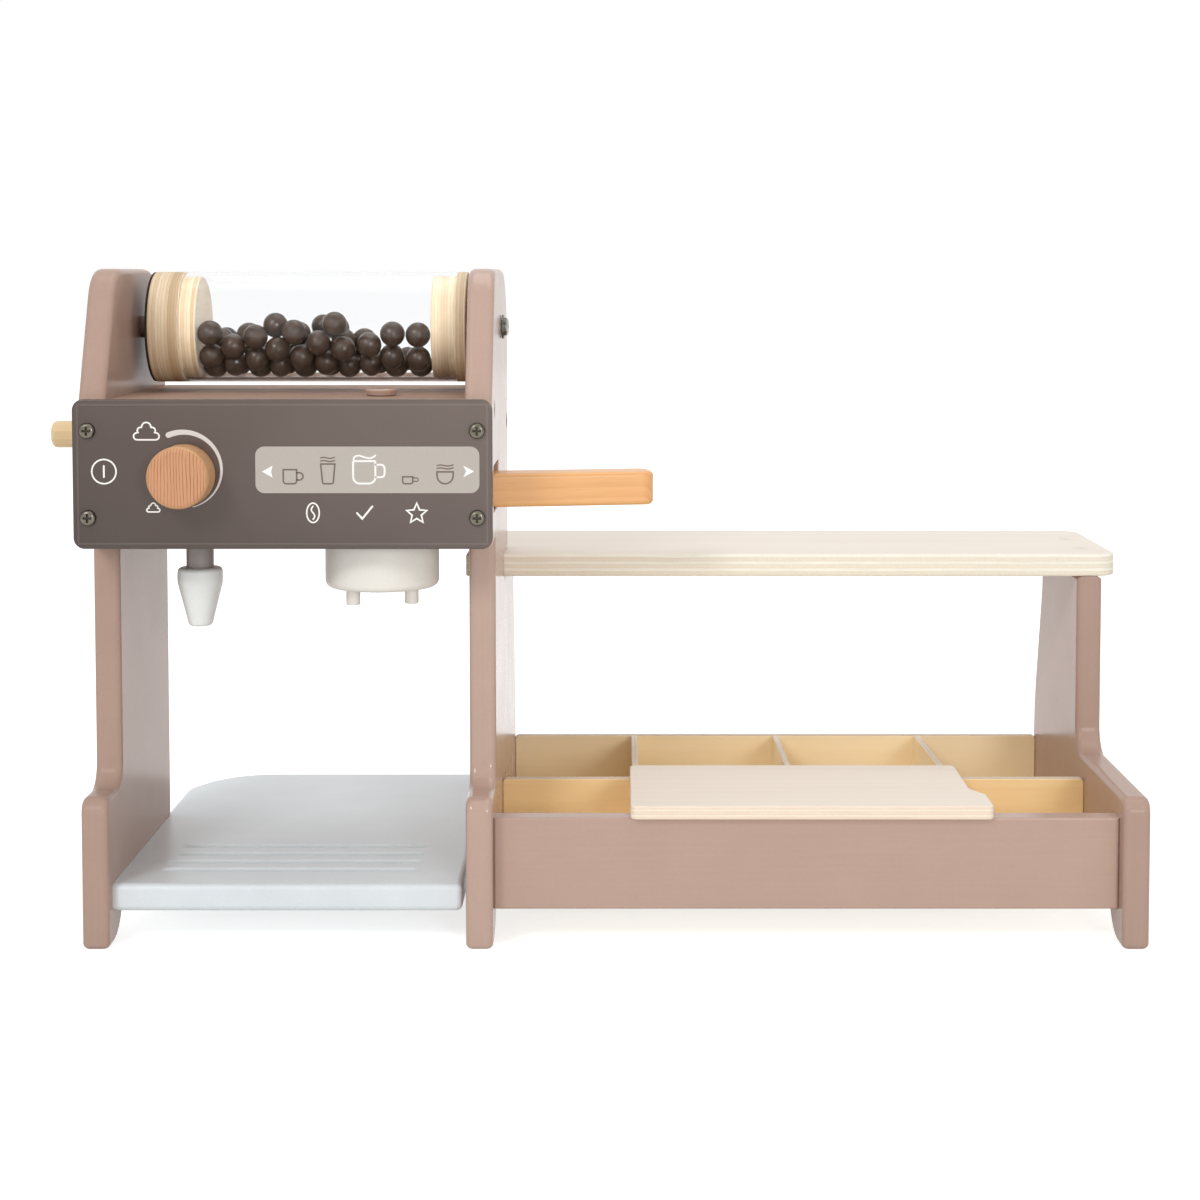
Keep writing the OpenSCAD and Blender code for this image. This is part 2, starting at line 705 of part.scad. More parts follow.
module axle_washer() placed() color(steel) along_x(middle_out + skim, drum_y, drum_z)
    washer(axle_screw_d, washer_d);

// Beans lie in rows along the drum: five rows round the tube's lower wall and one on top of them
module coffee_beans() placed() color([0.27, 0.23, 0.20]) {
    gap = 0.15;
    ring_r = tube_r - bead_d / 2 - gap;
    row_angle = 2 * asin((bead_d + gap) / 2 / ring_r);
    start = tube_x + left_plug_l + gap + bead_d / 2;
    room = tube_l - left_plug_l - right_plug_l - bead_d - 2 * gap;
    count = floor(room / (bead_d + gap)) + 1;
    pitch = room / (count - 1);
    rows = [for (k = [-2:2]) [ring_r * sin(k * row_angle), -ring_r * cos(k * row_angle), abs(k) % 2]];
    for (row = concat(rows, [[0, bead_d + gap - ring_r, 0]]))
        for (i = [0:count - 1 - row[2]])
            translate([start + (i + row[2] / 2) * pitch, drum_y + row[0], drum_z + row[1]])
                sphere(d = bead_d, $fn = 24);
}

module plug_spots() {
    for (k = [0.265, 0.68]) {   // share of the depth of the right panel's top
        y = shelf_y + k * (shelf_shoulder - shelf_y);
        translate([right_in + panel_t / 2, y, shelf_top - shelf_plug_l]) children();
    }
}

module shelf() placed() color(ply) difference() {
    left = middle_in - shelf_overhang_left;
    left_r = 1.5;
    right_r = 10;
    board_z_way(shelf_z, shelf_t) polygon(rounded([
        [left, shelf_y, left_r], [shelf_right, shelf_y, right_r],
        [shelf_right, shelf_back, right_r], [left, shelf_back, left_r]]));
    translate([middle_in, shelf_y - cut, shelf_top - shelf_housing])
        cube([panel_t, upper_depth - shelf_y + cut, shelf_housing + cut]);
    plug_spots() cylinder(r = plug_d / 2 + glue, h = shelf_plug_l + cut);
    plug_spots() screw_hole(shelf_screw_l);
}

module shelf_plugs() placed() color(pale_wood) plug_spots() dowel(plug_d, shelf_plug_l, 0.4);

module tray_front_wall() placed() color(painted) difference() {
    translate([middle_out, front_wall_setback, tray_z]) cube([tray_w, front_wall_t, tray_wall_h]);
    side_screw_holes();
}

// X of each divider's middle
function divider_x(k) = tray_mid_x + k * divider_pitch;

module tray_mid_wall() placed() color(pale_wood) difference() {
    translate([middle_out, mid_wall_y, floor_top]) cube([tray_w, wall_t, floor_to_wall_top]);
    for (k = [-1:1])
        translate([divider_x(k) - divider_t / 2 - glue, mid_wall_y - cut, floor_top - cut])
            cube([divider_t + 2 * glue, wall_t + 2 * cut, floor_to_wall_top / 2 + cut]);
}

module tray_back_wall() placed() color(pale_wood)
    translate([middle_out, back_wall_y, tray_z]) cube([tray_w, wall_t, back_wall_top - tray_z]);

module tray_floor() placed() color(pale_wood)
    translate([middle_out, front_wall_back, floor_top - floor_t])
        cube([tray_w, back_wall_y - front_wall_back, floor_t]);

// Divider with a slot from above where the mid wall crosses it
module divider(k) {
    halved = floor_top + floor_to_wall_top / 2;
    board_x_way(divider_x(k) - divider_t / 2, divider_t) difference() {
        polygon([[front_wall_back, floor_top], [back_wall_y, floor_top], [back_wall_y, back_wall_top],
                 [mid_wall_y + wall_t, wall_top - divider_drop],
                 [front_wall_back, wall_top - divider_drop]]);
        translate([mid_wall_y - glue, halved]) square([wall_t + 2 * glue, tray_wall_h]);
    }
}

module tray_divider_left() placed() color(pale_wood) divider(-1);
module tray_divider_centre() placed() color(pale_wood) divider(0);
module tray_divider_right() placed() color(pale_wood) divider(1);

// Board with a curved step at its front right corner, lying on the front wall and the mid wall
module serving_board() placed() color(ply) {
    wide = board_x + board_l + board_step;
    narrow = board_x + board_l;
    board_z_way(wall_top, board_t) polygon(rounded([
        [board_x, board_y, board_r], [wide, board_y, board_r],
        [wide, board_y + board_step_y[0], board_step_r],
        [narrow, board_y + board_step_y[1], board_step_r],
        [narrow, board_y + board_depth, board_r], [board_x, board_y + board_depth, board_r]]));
}

left_side_panel();
middle_side_panel();
right_side_panel();
base_board();
top_board();
back_board();
control_plate();
plate_screws();
side_screws();
steam_shaft();
steam_nozzle();
steam_knob();
knob_screw();
knob_washer();
portafilter_bowl();
portafilter_handle();
spout_pegs();
pivot_peg();
drum_tube();
drum_cap_left();
drum_cap_right();
drive_disc();
crank_axle();
crank_arm();
crank_peg();
axle_screw();
axle_washer();
coffee_beans();
shelf();
shelf_plugs();
tray_front_wall();
tray_mid_wall();
tray_back_wall();
tray_floor();
tray_divider_left();
tray_divider_centre();
tray_divider_right();
serving_board();
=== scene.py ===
"""Looks of the wooden toy coffee maker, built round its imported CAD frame: rounded boards, turned parts,
the control plate's print, the bean heap, materials, camera, lights and floor. Lengths are in millimetres
until a mesh is made, angles in degrees, colours as 8-bit sRGB."""
import json
import math

import bpy
import numpy as np
from mathutils import Matrix, Vector
from mathutils.geometry import tessellate_polygon


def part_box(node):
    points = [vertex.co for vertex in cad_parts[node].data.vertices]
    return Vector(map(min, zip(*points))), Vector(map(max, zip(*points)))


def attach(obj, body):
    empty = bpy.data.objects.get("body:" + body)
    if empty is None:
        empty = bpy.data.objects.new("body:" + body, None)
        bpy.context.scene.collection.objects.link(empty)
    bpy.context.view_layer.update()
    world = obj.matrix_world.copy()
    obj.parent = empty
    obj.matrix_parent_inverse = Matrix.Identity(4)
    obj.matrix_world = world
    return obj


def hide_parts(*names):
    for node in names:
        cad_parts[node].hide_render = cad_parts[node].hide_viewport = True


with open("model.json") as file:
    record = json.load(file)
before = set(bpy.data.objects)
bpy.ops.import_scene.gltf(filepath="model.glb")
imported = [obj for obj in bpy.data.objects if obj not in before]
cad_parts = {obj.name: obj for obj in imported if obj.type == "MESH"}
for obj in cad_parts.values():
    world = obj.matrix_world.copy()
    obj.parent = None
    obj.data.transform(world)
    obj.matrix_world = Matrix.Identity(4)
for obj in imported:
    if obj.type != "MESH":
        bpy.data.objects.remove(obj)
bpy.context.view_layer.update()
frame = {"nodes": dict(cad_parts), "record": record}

MM = 0.001
X, Y, Z = 0, 1, 2
RECORD = frame["record"]
BODY = {node: body for body, nodes in RECORD["behaviour"]["bodies"].items() for node in nodes}


# ---- camera

def add_camera():
    data = bpy.data.cameras.new("camera")
    data.sensor_width = 36
    data.lens = 67.5
    data.shift_x, data.shift_y = -0.01833, -0.15944
    camera = bpy.data.objects.new("camera", data)
    camera.location = (0.015, -1.10745, 0.30453)
    camera.rotation_euler = (math.radians(86.6), 0, 0)
    bpy.context.scene.collection.objects.link(camera)
    bpy.context.scene.camera = camera
    return camera


camera = add_camera()


# ---- materials

def srgb(*colour, shade=1.0):
    """Linear colour with alpha from 8-bit sRGB numbers, made darker or lighter by shade."""
    return tuple(shade * (((c / 255 + 0.055) / 1.055) ** 2.4 if c > 10 else c / 255 / 12.92)
                 for c in colour) + (1.0,)


def streak(axis, along, across):
    """Scale by axis that draws a pattern out along one axis."""
    scale = [across] * 3
    scale[axis] = along
    return scale


class Nodes:
    """Node tree of a material or a world, made by short calls. A socket takes a value or an output."""

    def __init__(self, owner):
        owner.use_nodes = True
        self.tree = owner.node_tree

    def fill(self, node, sockets):
        for key, value in sockets.items():
            socket = node.inputs[key if isinstance(key, int) else key.replace("_", " ")]
            if isinstance(value, bpy.types.NodeSocket):
                self.tree.links.new(value, socket)
            else:
                socket.default_value = value

    def node(self, kind, sockets, output=0, **settings):
        node = self.tree.nodes.new("ShaderNode" + kind)
        for key, value in settings.items():
            setattr(node, key, value)
        self.fill(node, sockets)
        return node.outputs[output]

    def math(self, operation, a, b=0.0):
        return self.node("Math", {0: a, 1: b}, operation=operation)

    def level(self, factor, low, high, out_low=0.0, out_high=1.0):
        """A number mapped from one range to another and kept in it."""
        return self.node("MapRange", {0: factor, 1: low, 2: high, 3: out_low, 4: out_high})

    def shown(self):
        """1 where the camera sees this, also in a gloss or through the tube, else 0."""
        camera, glossy, clear = (self.node("LightPath", {}, output="Is " + kind + " Ray")
                                 for kind in ("Camera", "Glossy", "Transmission"))
        return self.math("MAXIMUM", self.math("MAXIMUM", camera, glossy), clear)


class Look(Nodes):
    """A material with one Principled surface, placed by the object's own coordinates in metres."""

    def __init__(self, name, **sockets):
        self.material = bpy.data.materials.new(name)
        super().__init__(self.material)
        self.surface = self.tree.nodes["Principled BSDF"]
        self.fill(self.surface, sockets)
        self.place = self.node("TexCoord", {}, output="Object")

    def axis(self, number):
        return self.node("SeparateXYZ", {0: self.place}, output=number)

    def count(self, axis, start, pitch):
        """The place along an axis, counted in pitches from start, both in mm."""
        return self.math("MULTIPLY", self.math("SUBTRACT", self.axis(axis), start * MM), 1 / (pitch * MM))

    def facing(self, axis, low, high):
        """0 to 1 as the surface turns towards an axis, between two shares of its normal."""
        normal = self.node("SeparateXYZ", {0: self.node("TexCoord", {}, output="Normal")}, output=axis)
        return self.level(self.math("ABSOLUTE", normal), low, high)

    def noise(self, scale, detail=3.0, roughness=0.5, vector=None):
        """Noise over the object or a vector; scale is a number or a list by axis."""
        vector = vector or self.place
        if not isinstance(scale, int):
            vector, scale = self.node("Mapping", {"Vector": vector, "Scale": scale}), 1
        return self.node("TexNoise", {"Vector": vector, "Scale": scale, "Detail": detail,
                                      "Roughness": roughness})

    def add(self, *terms):
        """The sum of outputs, each with its weight."""
        total, *parts = (self.math("MULTIPLY", output, weight) for output, weight in terms)
        for part in parts:
            total = self.math("ADD", total, part)
        return total

    def swayed(self, base, *swings):
        """A number moved up and down by noises round 0.5, each with its weight."""
        for noise, weight in swings:
            base = self.add((base, 1), (self.math("SUBTRACT", noise, 0.5), weight))
        return base

    def apart(self, a, b):
        return self.math("ABSOLUTE", self.math("SUBTRACT", a, b))

    def least(self, low, *more):
        for number in more:
            low = self.math("MINIMUM", low, number)
        return low

    def ramp(self, factor, *stops):
        """Colour ramp from stops (place, colour)."""
        node = self.tree.nodes.new("ShaderNodeValToRGB")
        marks = node.color_ramp.elements
        while len(marks) < len(stops):
            marks.new(0.5)
        for mark, (place, colour) in zip(marks, stops):
            mark.position = place
            mark.color = colour
        self.tree.links.new(factor, node.inputs[0])
        return node.outputs[0]

    def tones(self, noise, low, high):
        """Two colours over the range that a noise fills."""
        return self.ramp(noise, (0.3, low), (0.7, high))

    def vary(self, noise, low, high):
        """Two numbers over the range that a noise fills."""
        return self.level(noise, 0.3, 0.7, low, high)

    def mix(self, factor, a, b):
        return self.node("Mix", {0: factor, 6: a, 7: b}, output=2, data_type="RGBA")

    def finish(self, colour, roughness, height=None, depth=0.0):
        """Links the colour, the roughness and a bump whose full height is depth mm."""
        self.fill(self.surface, {"Base Color": colour, "Roughness": roughness})
        if height is not None:
            bump = self.node("Bump", {"Strength": 1.0, "Distance": depth * MM, "Height": height})
            self.fill(self.surface, {"Normal": bump})
        return self.material


def paint(name, colour, rough, grain=None, depth=0.005, gloss=0.5):
    """Satin paint over board: roller texture, faint mottling and, along grain, the wood's raised fibres."""
    look = Look(name, IOR=1.5, Specular_IOR_Level=gloss)
    roller = height = look.noise(850, 4, 0.6)
    mottle = look.noise(38, 3, 0.55)
    tone = look.add((roller, 0.45), (mottle, 0.55))
    if grain is not None:
        fibre = look.noise(streak(grain, 14, 620), 3, 0.6)
        tone = look.add((tone, 0.7), (fibre, 0.3))
        height = look.add((roller, 0.5), (fibre, 0.5))
    colour = look.ramp(tone, (0.32, srgb(*colour, shade=0.955)), (0.68, srgb(*colour, shade=1.045)))
    return look.finish(colour, look.vary(mottle, rough - 0.015, rough + 0.025), height, depth)


def wood(name, early, late, pitch, pith, rough, rings, fibre, wobble, turn=0.0):
    """Wood with growth rings round an axis along X through pith (mm), fibres and fine pores. early and
    late are the colours in a ring, pitch is its width."""
    look = Look(name, IOR=1.45)
    moved = look.node("Mapping", {"Vector": look.place, "Rotation": (0, 0, math.radians(turn)),
                                  "Location": [-c * MM for c in pith]})
    squeezed = look.node("Mapping", {"Vector": moved, "Scale": streak(X, 0.12, 1)})
    ring = look.node("TexWave", {"Vector": squeezed, "Scale": 0.314 / (pitch * MM), "Distortion": wobble,
                                 "Detail": 2.0, "Detail Scale": 0.35, "Detail Roughness": 0.5},
                     output=1, wave_type="RINGS", rings_direction="X", wave_profile="SAW")
    fibres = look.noise(streak(X, 45, 1500), 4, 0.65, moved)
    broad = look.noise(60, 2, 0.5, squeezed)
    share = look.swayed(look.level(ring, 0.35, 1, 0, rings), (fibres, fibre), (broad, 0.55))
    pores = look.level(fibres, 0.3, 0.42, 1, 0)
    return look.finish(look.ramp(share, (0, srgb(*early)), (1, srgb(*late))),
                       look.vary(fibres, rough + 0.06, rough - 0.04),
                       look.add((fibres, 1), (pores, -0.5)), 0.03)


def knob_beech():
    """Turned beech whose face looks along Y: thin uneven upright lines on it, plain wood round it."""
    look = Look("beech knob", IOR=1.45)
    drift = look.noise((90, 1, 26), 3, 0.55)
    near = look.math("PINGPONG", look.add((look.count(X, 0, 1.4), 1), (drift, 2.2)), 0.5)
    fibres = look.noise((1500, 300, 260), 4, 0.65)
    width = look.vary(look.noise((300, 1, 60), 2), 0.08, 0.26)
    line = look.swayed(look.level(near, 0, width, 1, 0), (fibres, 0.5))
    face = look.ramp(line, (0, srgb(204, 150, 110)), (1, srgb(148, 84, 54)))
    side = look.tones(fibres, srgb(208, 158, 110, shade=0.92), srgb(208, 158, 110))
    colour = look.mix(look.facing(Y, 0.5, 0.9), side, face)
    return look.finish(colour, look.vary(fibres, 0.5, 0.4), fibres, 0.03)


def ply_edge(name, axis, start, pitch, tones, along, seed, glue=0.1, glue_tone=(150, 118, 84)):
    """Edge of plywood with layers pitch mm thick along axis from start mm. tones are the colours of
    long-grain layers, end-grain layers and what some tend to, along is the way that the fibres run."""
    look = Look(name, IOR=1.45)
    long_tone, end_tone, odd_tone, glue_tone = (srgb(*tone) for tone in (*tones, glue_tone))
    waver = look.noise(streak(axis, 1, 40), 2)
    layer = look.swayed(look.count(axis, start, pitch), (waver, 0.22))
    number = look.math("FLOOR", layer)
    odd = look.math("PINGPONG", number, 1)
    chance = look.node("TexWhiteNoise", {"W": look.math("ADD", number, seed)}, noise_dimensions="1D")
    fibres = look.noise(streak(along, 55, 900), 4, 0.7)
    texture = look.node("Mix", {0: odd, 2: fibres, 3: look.noise(1300, 3, 0.7)})
    colour = look.mix(odd, long_tone, end_tone)
    colour = look.mix(look.level(chance, 0, 1, 0, 0.5), colour, odd_tone)
    colour = look.mix(look.vary(texture, 0.18, 0), colour, glue_tone)
    line = look.math("MULTIPLY", look.apart(look.math("FRACT", layer), 0.5), 2)
    colour = look.mix(look.level(line, 1 - glue, 1, 0, 0.45), colour, glue_tone)
    height = look.math("SUBTRACT", texture, look.level(line, 1 - glue, 1, 0, 0.5))
    return look.finish(colour, look.vary(texture, 0.68, 0.56), height, 0.04)


def metal(name, colour, rough, axis, *faces):
    """Plated steel with fine scratches, and painted shade: black where it lies deep under the nearest of the
    faces (mm) across an axis, standing for the shade in the screws' recesses and round their heads."""
    look = Look(name, Metallic=1.0)
    scratch = look.noise((300, 2600, 900), 4, 0.6)
    tone = look.tones(look.noise(420, 2), srgb(*colour, shade=0.8), srgb(*colour))
    # painted shade: the steel goes black where it lies deeper than the nearest face
    sunk = look.least(*(look.apart(look.axis(axis), face * MM) for face in faces))
    tone = look.mix(look.level(sunk, 0.5 * MM, 1.1 * MM, 0, 0.75), tone, srgb(38, 36, 33))
    return look.finish(tone, look.vary(scratch, rough - 0.08, rough + 0.12), scratch, 0.01)


# ---- shapes

def box(node):
    """Lowest and highest corner of a CAD node in millimetres."""
    lo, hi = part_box(node)
    return lo / MM, hi / MM


def right(way):
    """The unit vector to the right of a way."""
    return Vector((way.y, -way.x)).normalized()


def rounded(corners, step=9.0, closed=True):
    """Points (u, v, normal before, normal after) of an outline from corners (u, v, radius), which runs
    with its inside on the left. The normals point out, and are equal where the outline is smooth."""
    n = len(corners)
    flat = []
    for i, (u, v, r) in enumerate(corners):
        here = Vector((u, v))
        if r <= 0 or not closed and i in (0, n - 1):
            flat.append((here, None))
            continue
        a, b = ((Vector(corners[k][:2]) - here).normalized() for k in (i - 1, (i + 1) % n))
        half = a.angle(b) / 2
        centre = here + (a + b).normalized() * r / math.sin(half)
        s = here + a * r / math.tan(half) - centre
        e = here + b * r / math.tan(half) - centre
        turn = math.atan2(s.x * e.y - s.y * e.x, s.dot(e))
        count = max(2, math.ceil(abs(math.degrees(turn)) / step))
        side = 1 if turn > 0 else -1
        for k in range(count + 1):
            arm = Matrix.Rotation(turn * k / count, 2) @ s
            flat.append((centre + arm, arm.normalized() * side))
    n, points = len(flat), []
    for i, (p, normal) in enumerate(flat):
        ways = [normal, normal]
        if normal is None:
            ways = [right(p - flat[i - 1][0]), right(flat[(i + 1) % n][0] - p)]
            if not closed and i in (0, n - 1):
                ways = [ways[i == 0]] * 2
        points.append((p, *ways))
    return points


def outline(corners, step=9.0):
    """Points (u, v) of a closed outline from corners (u, v, radius)."""
    return [tuple(p) for p, _, _ in rounded(corners, step)]


def rectangle(u0, v0, u1, v1, r=0.0):
    return outline([(u0, v0, r), (u1, v0, r), (u1, v1, r), (u0, v1, r)])


def pairs(points):
    """Each point of a loop with the next one."""
    return list(zip(points, points[1:] + points[:1]))


def area(points):
    """Twice the area in a loop, below zero where it runs clockwise."""
    return sum(a[0] * b[1] - a[1] * b[0] for a, b in pairs(points))


def triangles(loops):
    """Anticlockwise triangles of point numbers that fill an outline round its holes."""
    flat = [Vector(p) for loop in loops for p in loop]
    for triangle in tessellate_polygon([[Vector((*p, 0)) for p in loop] for loop in loops]):
        a, b, c = (flat[i] for i in triangle)
        turn = (b - a).cross(c - a)
        if abs(turn) >= 1e-9:
            yield triangle if turn > 0 else triangle[::-1]


def add_piece(name, verts, faces, normals, materials, mats=None, matrix=None):
    """Mesh object from millimetre vertices; normals holds one vector per face corner."""
    if matrix is not None:
        turn = matrix.to_3x3()
        verts = [matrix @ Vector(v) for v in verts]
        normals = [turn @ Vector(n) for n in normals]
    mesh = bpy.data.meshes.new(name)
    mesh.from_pydata([Vector(v) * MM for v in verts], [], faces)
    for material in materials:
        mesh.materials.append(material)
    mesh.polygons.foreach_set("material_index", mats or [0] * len(faces))
    mesh.polygons.foreach_set("use_smooth", [True] * len(faces))
    mesh.update()
    mesh.normals_split_custom_set([Vector(n).normalized() for n in normals])
    piece = bpy.data.objects.new(name, mesh)
    bpy.context.scene.collection.objects.link(piece)
    return piece


def stands_for(piece, node, *more):
    """The piece replaces CAD nodes and rides on the first one's body."""
    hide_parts(node, *more)
    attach(piece, BODY[node])


def lathe(name, corners, matrix, material, steps=96, step=11.25):
    """Turned piece from corners (radius, height, rounding), which run up from axis to axis, or round a
    ring's section."""
    ring = corners[0][0] > 0
    profile = rounded(corners, step, closed=ring)
    verts, faces, normals, levels = [], [], [], []
    for p, _, _ in profile:
        if p.x < 1e-6:
            levels.append([len(verts)] * steps)
            verts.append((0, 0, p.y))
        else:
            levels.append(range(len(verts), len(verts) + steps))
            verts.extend((p.x * math.cos(t), p.x * math.sin(t), p.y)
                         for t in (2 * math.pi * k / steps for k in range(steps)))
    count = len(profile)
    for k in range(count if ring else count - 1):
        low, high = levels[k], levels[(k + 1) % count]
        n_low, n_high = profile[k][2], profile[(k + 1) % count][1]
        for i in range(steps):
            j = (i + 1) % steps
            face = {}                    # a ring on the axis is one point, named once
            for vertex, normal, at in ((low[i], n_low, i), (low[j], n_low, j), (high[j], n_high, j),
                                       (high[i], n_high, i)):
                face.setdefault(vertex, (normal, at))
            if len(face) < 3:
                continue
            faces.append(list(face))
            for normal, at in face.values():
                t = 2 * math.pi * at / steps
                normals.append((normal.x * math.cos(t), normal.x * math.sin(t), normal.y))
    return add_piece(name, verts, faces, normals, [material], matrix=matrix)


def along(axis, x, y, z):
    """Matrix that stands a piece drawn up Z on (x, y, z) along +X, +Y or +Z."""
    turn = {X: Matrix.Rotation(math.pi / 2, 4, "Y"), Y: Matrix.Rotation(-math.pi / 2, 4, "X"),
            Z: Matrix.Identity(4)}[axis]
    return Matrix.Translation((x, y, z)) @ turn


def turned(name, node, axis, corners, material, **more):
    """Turned piece in place of a CAD node that fills its box. corners are (share of the radius, share of
    the height, rounding) between the two ends on the axis."""
    lo, hi = box(node)
    foot = (lo + hi) / 2
    foot[axis] = lo[axis]
    r, h = (hi.x - lo.x) / 2, hi[axis] - lo[axis]
    profile = [(0, 0, 0), *((r * out, h * up, rounding) for out, up, rounding in corners), (0, h, 0)]
    stands_for(lathe(name, profile, along(axis, *foot), material, **more), node)


SIDES = {X: (Y, Z), Y: (Z, X), Z: (X, Y)}     # the axes (u, v) of a face that looks along +axis


def cap_loops(node, axis, top=True):
    """Outlines of a CAD board's flat end along axis, as lists of (u, v) in mm with the wood on their left."""
    mesh = frame["nodes"][node].data
    spots = [tuple(round(c / MM, 3) for c in v.co) for v in mesh.vertices]
    end = (max if top else min)(s[axis] for s in spots)
    u, v = SIDES[axis]
    edges = set()
    for face in mesh.polygons:
        ring = [spots[i] for i in face.vertices]
        if all(abs(s[axis] - end) < 1e-3 for s in ring):
            flat = [(s[u], s[v]) for s in ring]
            if area(flat) < 0:
                flat.reverse()
            edges.update((a, b) for a, b in pairs(flat) if a != b)
    follow = {a: b for a, b in edges if (b, a) not in edges}
    loops = []
    while follow:
        start, here = follow.popitem()
        loop = [start]
        while here != start:
            loop.append(here)
            here = follow.pop(here)
        loops.append(straightened(loop))
    return sorted(loops, key=lambda points: -spread(points))


def spread(points):
    return max(p[0] for p in points) - min(p[0] for p in points)


def straightened(loop):
    """The loop without points that lie on a straight run or on one another."""
    kept = []
    for p in loop:
        if not kept or (Vector(p) - Vector(kept[-1])).length > 0.02:
            kept.append(p)
    ways = [Vector(b) - Vector(a) for a, b in pairs(kept)]
    return [p for i, p in enumerate(kept) if ways[i - 1].angle(ways[i]) > math.radians(0.8)]


def outline_normals(loop):
    """Outward normals (before, after) at each point: smooth where the turn is small, and the long
    straight edge's own where an arc meets it."""
    ways = [b - a for a, b in pairs([Vector(p) for p in loop])]
    out = [right(way) for way in ways]
    result = []
    for i in range(len(loop)):
        before, after = out[i - 1], out[i]
        if before.angle(after) > math.radians(24):
            result.append((before, after))
            continue
        a, b = ways[i - 1].length, ways[i].length
        smooth = before if a > 4 * b else after if b > 4 * a else (before + after).normalized()
        result.append((smooth, smooth))
    return result


def edge_round(r, steps=5, deep=1.0):
    """Section of a rounded board edge, deep times as deep as wide: (inset, depth, share of the normal
    that looks sideways)."""
    if r <= 0:
        return [(0.0, 0.0, 1.0)]
    return [(r * (1 - math.sin(a)), r * deep * (1 - math.cos(a)),
             math.sin(a) / math.hypot(math.sin(a), math.cos(a) / deep))
            for a in (math.pi / 2 * k / steps for k in range(steps + 1))]


def flute(x0, x1, y, width, depth, rings=6, steps=8):
    """Nested outlines of a round-bottomed groove along X between x0 and x1: lists of (x, y, drop, slope)."""
    r = width / 2
    cutter = (r * r + depth * depth) / (2 * depth)
    loops = []
    for k in range(rings + 1):
        reach = r * (1 - 0.94 * k / rings)
        rise = math.sqrt(cutter * cutter - reach * reach)
        slope = reach / rise
        loops.append([(cx + reach * math.cos(t), y + reach * math.sin(t), depth - cutter + rise,
                       (-slope * math.cos(t), -slope * math.sin(t)))
                      for cx, start in ((x1 - r, -math.pi / 2), (x0 + r, math.pi / 2))
                      for t in (start + math.pi * i / steps for i in range(steps + 1))])
    return loops


def board(name, loops, axis, low, high, r, materials, hole_r=0.0, steps=5, deep=1.0, flutes=()):
    """Board between two planes with rounded edges. loops are outlines in (u, v), the outer one first.
    Faces that look along axis take material 0, the rest the last one. flutes cut the high face."""
    u, v = SIDES[axis]
    last = len(materials) - 1
    verts, faces, normals, mats = [], [], [], []

    def place(a, b, w):
        s = [0.0] * 3
        s[u], s[v], s[axis] = a, b, w
        return s

    def spot(p, w):
        verts.append(place(p[0], p[1], w))
        return len(verts) - 1

    def way(flat, share, up):
        return place(flat.x * share, flat.y * share, up * math.sqrt(max(0.0, 1 - share * share)))

    caps = {-1: [], 1: []}
    for number, loop in enumerate(loops):
        points = [Vector(p) for p in loop]
        count = len(points)
        turned = outline_normals(loop)
        out = [right(b - a) for a, b in pairs(points)]
        mitre = [(out[i - 1] + out[i]) / (1 + out[i - 1].dot(out[i])) for i in range(count)]
        section = edge_round(r, steps, deep) if number == 0 else edge_round(hole_r, 3)
        rings = [(-1, *s) for s in section] + [(1, *s) for s in reversed(section)]
        ids = []
        for up, inset, depth, share in rings:
            w = low + depth if up < 0 else high - depth
            ids.append([spot(points[i] - mitre[i] * inset, w) for i in range(count)])
        for k in range(len(rings) - 1):
            (up_a, _, _, share_a), (up_b, _, _, share_b) = rings[k], rings[k + 1]
            for i in range(count):
                j = (i + 1) % count
                faces.append((ids[k][i], ids[k][j], ids[k + 1][j], ids[k + 1][i]))
                normals += [way(turned[i][1], share_a, up_a), way(turned[j][0], share_a, up_a),
                            way(turned[j][0], share_b, up_b), way(turned[i][1], share_b, up_b)]
                mats.append(0 if (share_a + share_b) / 2 < 0.6 else last)
        caps[-1].append(ids[0])
        caps[1].append(ids[-1])
    for groove in flutes:
        ids = [[spot(p, high - p[2]) for p in ring] for ring in groove]
        caps[1].append(ids[0])
        count = len(ids[0])
        for k in range(len(ids) - 1):
            for i in range(count):
                j = (i + 1) % count
                face = ((k, i), (k, j), (k + 1, j), (k + 1, i))
                faces.append(tuple(ids[a][b] for a, b in face))
                normals += [(*groove[a][b][3], 1.0) for a, b in face]
                mats.append(0)
        faces.append(tuple(ids[-1]))
        normals += [(0, 0, 1)] * count
        mats.append(0)
    for up, rings in caps.items():
        flat = [i for ring in rings for i in ring]
        for triangle in triangles([[(verts[i][u], verts[i][v]) for i in ring] for ring in rings]):
            faces.append([flat[i] for i in triangle[::up]])
            normals += [place(0, 0, up)] * 3
            mats.append(0)
    return add_piece(name, verts, faces, normals, materials, mats)


def fitted(name, node, axis, loops, r, materials, **more):
    """Rounded board with the given outlines, as thick as the CAD node that it replaces."""
    lo, hi = box(node)
    stands_for(board(name, loops, axis, lo[axis], hi[axis], r, materials, **more), node)


def node_board(name, node, axis, r, materials, keep=6.0, top=True, **more):
    """Rounded board in place of a CAD board, without its holes narrower than keep mm."""
    edge, *holes = cap_loops(node, axis, top)
    fitted(name, node, axis, [edge, *(hole for hole in holes if spread(hole) > keep)], r, materials, **more)


def slab(name, node, axis, r, materials, corner=0.0):
    """Rounded board in place of a CAD node that fills its box; corner rounds its outline."""
    lo, hi = box(node)
    u, v = SIDES[axis]
    fitted(name, node, axis, [rectangle(lo[u], lo[v], hi[u], hi[v], corner)], r, materials)


# ---- finishes

